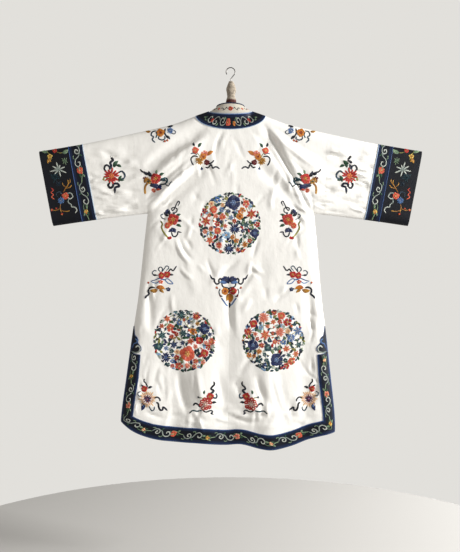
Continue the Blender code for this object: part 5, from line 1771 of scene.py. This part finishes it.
class ROBE_OT_buttons(RobePiece):
    """Add the knot buttons and their loops"""

    bl_idname = "robe.buttons"
    bl_label = "Buttons"

    def build(self):
        t = np.linspace(0, 2 * math.pi, 90)
        swell = BALL_RADIUS * (BALL_SWELL + BALL_WAVE * np.cos(3 * t))
        rise = BALL_RADIUS * BALL_RISE * np.sin(3 * t)
        knot = np.stack([swell * np.cos(2 * t), rise, swell * np.sin(2 * t)], 1)
        for name, x, z, angle, seat in BUTTONS:
            turn = math.radians(angle)
            toward = np.array((math.cos(turn), math.sin(turn)))
            aside = np.array((-toward[1], toward[0]))
            below_bar, border = SEATS[seat]
            below_loop = GAP + CLOTH + GAP + border
            lift = below_loop + BALL_RADIUS + KNOT_SPARE

            def over(distance, side, height):
                px, pz = np.array((x, z)) + toward * distance + aside * side
                return (px, float(half_depth(px, pz, FRONT)) + height, pz)

            low = below_bar + border + KNOT_CORD + KNOT_SPARE
            strand = list(zip(STRAND_PLACES, (lift, mix(lift, low, 0.7), low, low)))
            bar = [over(-d, -KNOT_CORD, h) for d, h in strand] + [over(-BAR_END, 0.0, low)]
            bar += [over(-d, KNOT_CORD, h) for d, h in strand[::-1]]
            high = below_loop + KNOT_CORD + KNOT_SPARE
            loop = [over(d, -LEG_OFFSET, high) for d in LEG_PLACES]
            for a in np.linspace(-LOOP_MOUTH, LOOP_MOUTH - 2 * math.pi, 14):
                loop.append(over(LOOP_RADIUS * math.cos(a), LOOP_RADIUS * math.sin(a), high + LOOP_RISE))
            loop += [over(d, LEG_OFFSET, high) for d in LEG_PLACES[::-1]]
            loop.append(over(BAR_LENGTH + 0.001, 0.0, high))
            for part, paths in (("button", [knot + over(0, 0, lift), bar]), ("loop", [loop])):
                part = f"{part}_{name}"
                fit(cord(part, paths, KNOT_CORD, "piping", 8), part, slot="knot_cord")


def arm_height(x):
    x = np.abs(x)
    drop = ARM_NECK_DROP * (1 - ease((x - NECK_HALF_WIDTH) / (ARM_LEVEL_X - NECK_HALF_WIDTH)))
    outer = shoulder_z(x) - ARM_BELOW_FOLD - drop
    at_side = shoulder_z(NECK_HALF_WIDTH) - ARM_BELOW_FOLD - ARM_NECK_DROP
    under = mix(ARM_CENTRE_Z, at_side, ease(x / NECK_HALF_WIDTH * ARM_ARCH) / ease(ARM_ARCH))
    return np.where(x >= NECK_HALF_WIDTH, outer, under)


def turned(name, profile, centre, key, sides=48):
    """A round shape from rows of z and radius, closed at both ends."""
    turn = np.linspace(0, 2 * math.pi, sides, endpoint=False)
    rows = [(profile[0][0], POINTED), *profile, (profile[-1][0], POINTED)]
    points = [(centre + r * math.cos(a), r * math.sin(a), z) for z, r in rows for a in turn]
    index = np.arange(len(points)).reshape(len(rows), sides)
    quads = quads_of(np.hstack([index, index[:, :1]]))[:, (0, 3, 2, 1)]
    return make_object(name, points, quads, material(key))


class ROBE_OT_hanger(RobePiece):
    """Add the hanger with its wrapped neck and hook"""

    bl_idname = "robe.hanger"
    bl_label = "Hanger"

    def build(self):
        x = np.linspace(-ARM_REACH, ARM_REACH, 90)
        arms = np.stack([x, 0 * x, arm_height(x)], 1)
        fit(cord("hanger_arms", [arms], ARM_RADIUS, "wood", 20), "hanger_arms", slot="hanger_wood")
        z = np.linspace(WRAP_PROFILE[0][0], WRAP_PROFILE[-1][0], 60)
        core = [(height, float(wrap_radius(height)) - WRAP_SUNK) for height in z]
        fit(turned("hanger_wrap", core, WRAP_CENTRE_X, "wrap"), "hanger_wrap", slot="wrap_cloth")
        self.wind("wrap_strip", *WRAP_SPAN, "wrap")
        self.wind("wrap_binding", *BINDING_SPAN, "binding")
        turn = np.radians(np.linspace(HOOK_START_ANGLE, HOOK_TIP_ANGLE, 60))
        bend = HOOK_INNER_RADIUS + HOOK_WIRE
        wire = np.stack([bend * np.cos(turn), 0 * turn, -HOOK_INNER_RADIUS + bend * np.sin(turn)], 1)
        hook = np.vstack([(0, 0, HOOK_STEM_Z), (0, 0, HOOK_STEM_Z + HOOK_STEM), wire])
        fit(cord("hanger_hook", [hook], HOOK_WIRE, "steel", 14), "hanger_hook", slot="hook_steel")

    def wind(self, name, low, high, key):
        """A strip wound round the hanger's neck between two heights, a little uneven."""
        turns = (high - low) / WRAP_PITCH
        t = np.linspace(0, 1, round(turns * POINTS_A_TURN))
        height = mix(low, high, t)
        angle = 2 * math.pi * turns * t
        radius = wrap_radius(height) - STRIP_SUNK
        for far, waves in STRIP_UNEVEN:
            radius = radius + far * np.sin(angle * waves)
        x, y = WRAP_CENTRE_X + radius * np.cos(angle), radius * np.sin(angle)
        path = np.stack([x, y, height + STRIP_WANDER[0] * np.sin(angle * STRIP_WANDER[1])], 1)
        fit(cord(name, [path], STRIP_RADIUS, key, 6), slot="wrap_cloth")


def area_light(name, place, target, size, power, colour):
    light = bpy.data.lights.new(name, "AREA")
    light.shape = "RECTANGLE"
    light.size, light.size_y = size
    light.energy = power
    light.color = colour
    obj = linked(name, light)
    obj.location = place
    obj.rotation_euler = (Vector(target) - Vector(place)).to_track_quat("-Z", "Y").to_euler()


def studio_world():
    """An even sky for light, which looks like a pale wall to the camera."""
    world = bpy.data.worlds.new("studio")
    world.use_nodes = True
    tree = world.node_tree
    sky = {"Color": (*SKY_COLOUR, 1), "Strength": SKY_STRENGTH}
    sky = plug(tree, tree.nodes["Background"], sky).outputs[0]
    seen = node(tree, "ShaderNodeBackground", {"Color": (*WALL_COLOUR, 1)})[0]
    direct = node(tree, "ShaderNodeLightPath", {})["Is Camera Ray"]
    either = node(tree, "ShaderNodeMixShader", {0: direct, 1: sky, 2: seen})[0]
    plug(tree, tree.nodes["World Output"], {"Surface": either})
    return world


class ROBE_OT_stage(RobePiece):
    """Add the floor, the light and the camera"""

    bl_idname = "robe.stage"
    bl_label = "Studio"

    def build(self):
        scene = bpy.context.scene
        bpy.ops.mesh.primitive_circle_add(
            vertices=96, radius=FLOOR_RADIUS, fill_type="NGON", location=(0, 0, FLOOR_Z)
        )
        floor = bpy.context.object
        floor.name = "floor"
        floor.data.materials.append(new_material("pale floor", FLOOR_COLOUR, 0.9)[0])
        scene.world = studio_world()
        for light in LIGHTS:
            area_light(*light)
        lens = bpy.data.cameras.new("camera")
        lens.lens = 50
        camera = linked("camera", lens)
        camera.location = CAMERA_PLACE
        camera.rotation_euler = (math.pi / 2, 0, 0)
        scene.camera = camera
        scene.view_settings.view_transform = "Standard"


class ROBE_PT_panel(bpy.types.Panel):
    bl_label = "Robe"
    bl_idname = "ROBE_PT_panel"
    bl_space_type = "VIEW_3D"
    bl_region_type = "UI"
    bl_category = "Robe"

    def draw(self, context):
        for prop in RobeSettings.__annotations__:
            self.layout.prop(context.scene.robe_settings, prop)
        for step in STEPS:
            self.layout.operator(step.bl_idname)


STEPS = (
    ROBE_OT_panels,
    ROBE_OT_sleeves,
    ROBE_OT_borders,
    ROBE_OT_collar,
    ROBE_OT_embroidery,
    ROBE_OT_stitches,
    ROBE_OT_buttons,
    ROBE_OT_hanger,
    ROBE_OT_stage,
)


def register():
    for made in (RobeSettings, *STEPS, ROBE_PT_panel):
        bpy.utils.register_class(made)
    bpy.types.Scene.robe_settings = bpy.props.PointerProperty(type=RobeSettings)


def unregister():
    del bpy.types.Scene.robe_settings
    for made in (ROBE_PT_panel, *reversed(STEPS), RobeSettings):
        bpy.utils.unregister_class(made)


def main():
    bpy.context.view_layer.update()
    register()
    for step in STEPS:
        group, call = step.bl_idname.split(".")
        getattr(getattr(bpy.ops, group), call)()


if __name__ == "__main__":
    main()
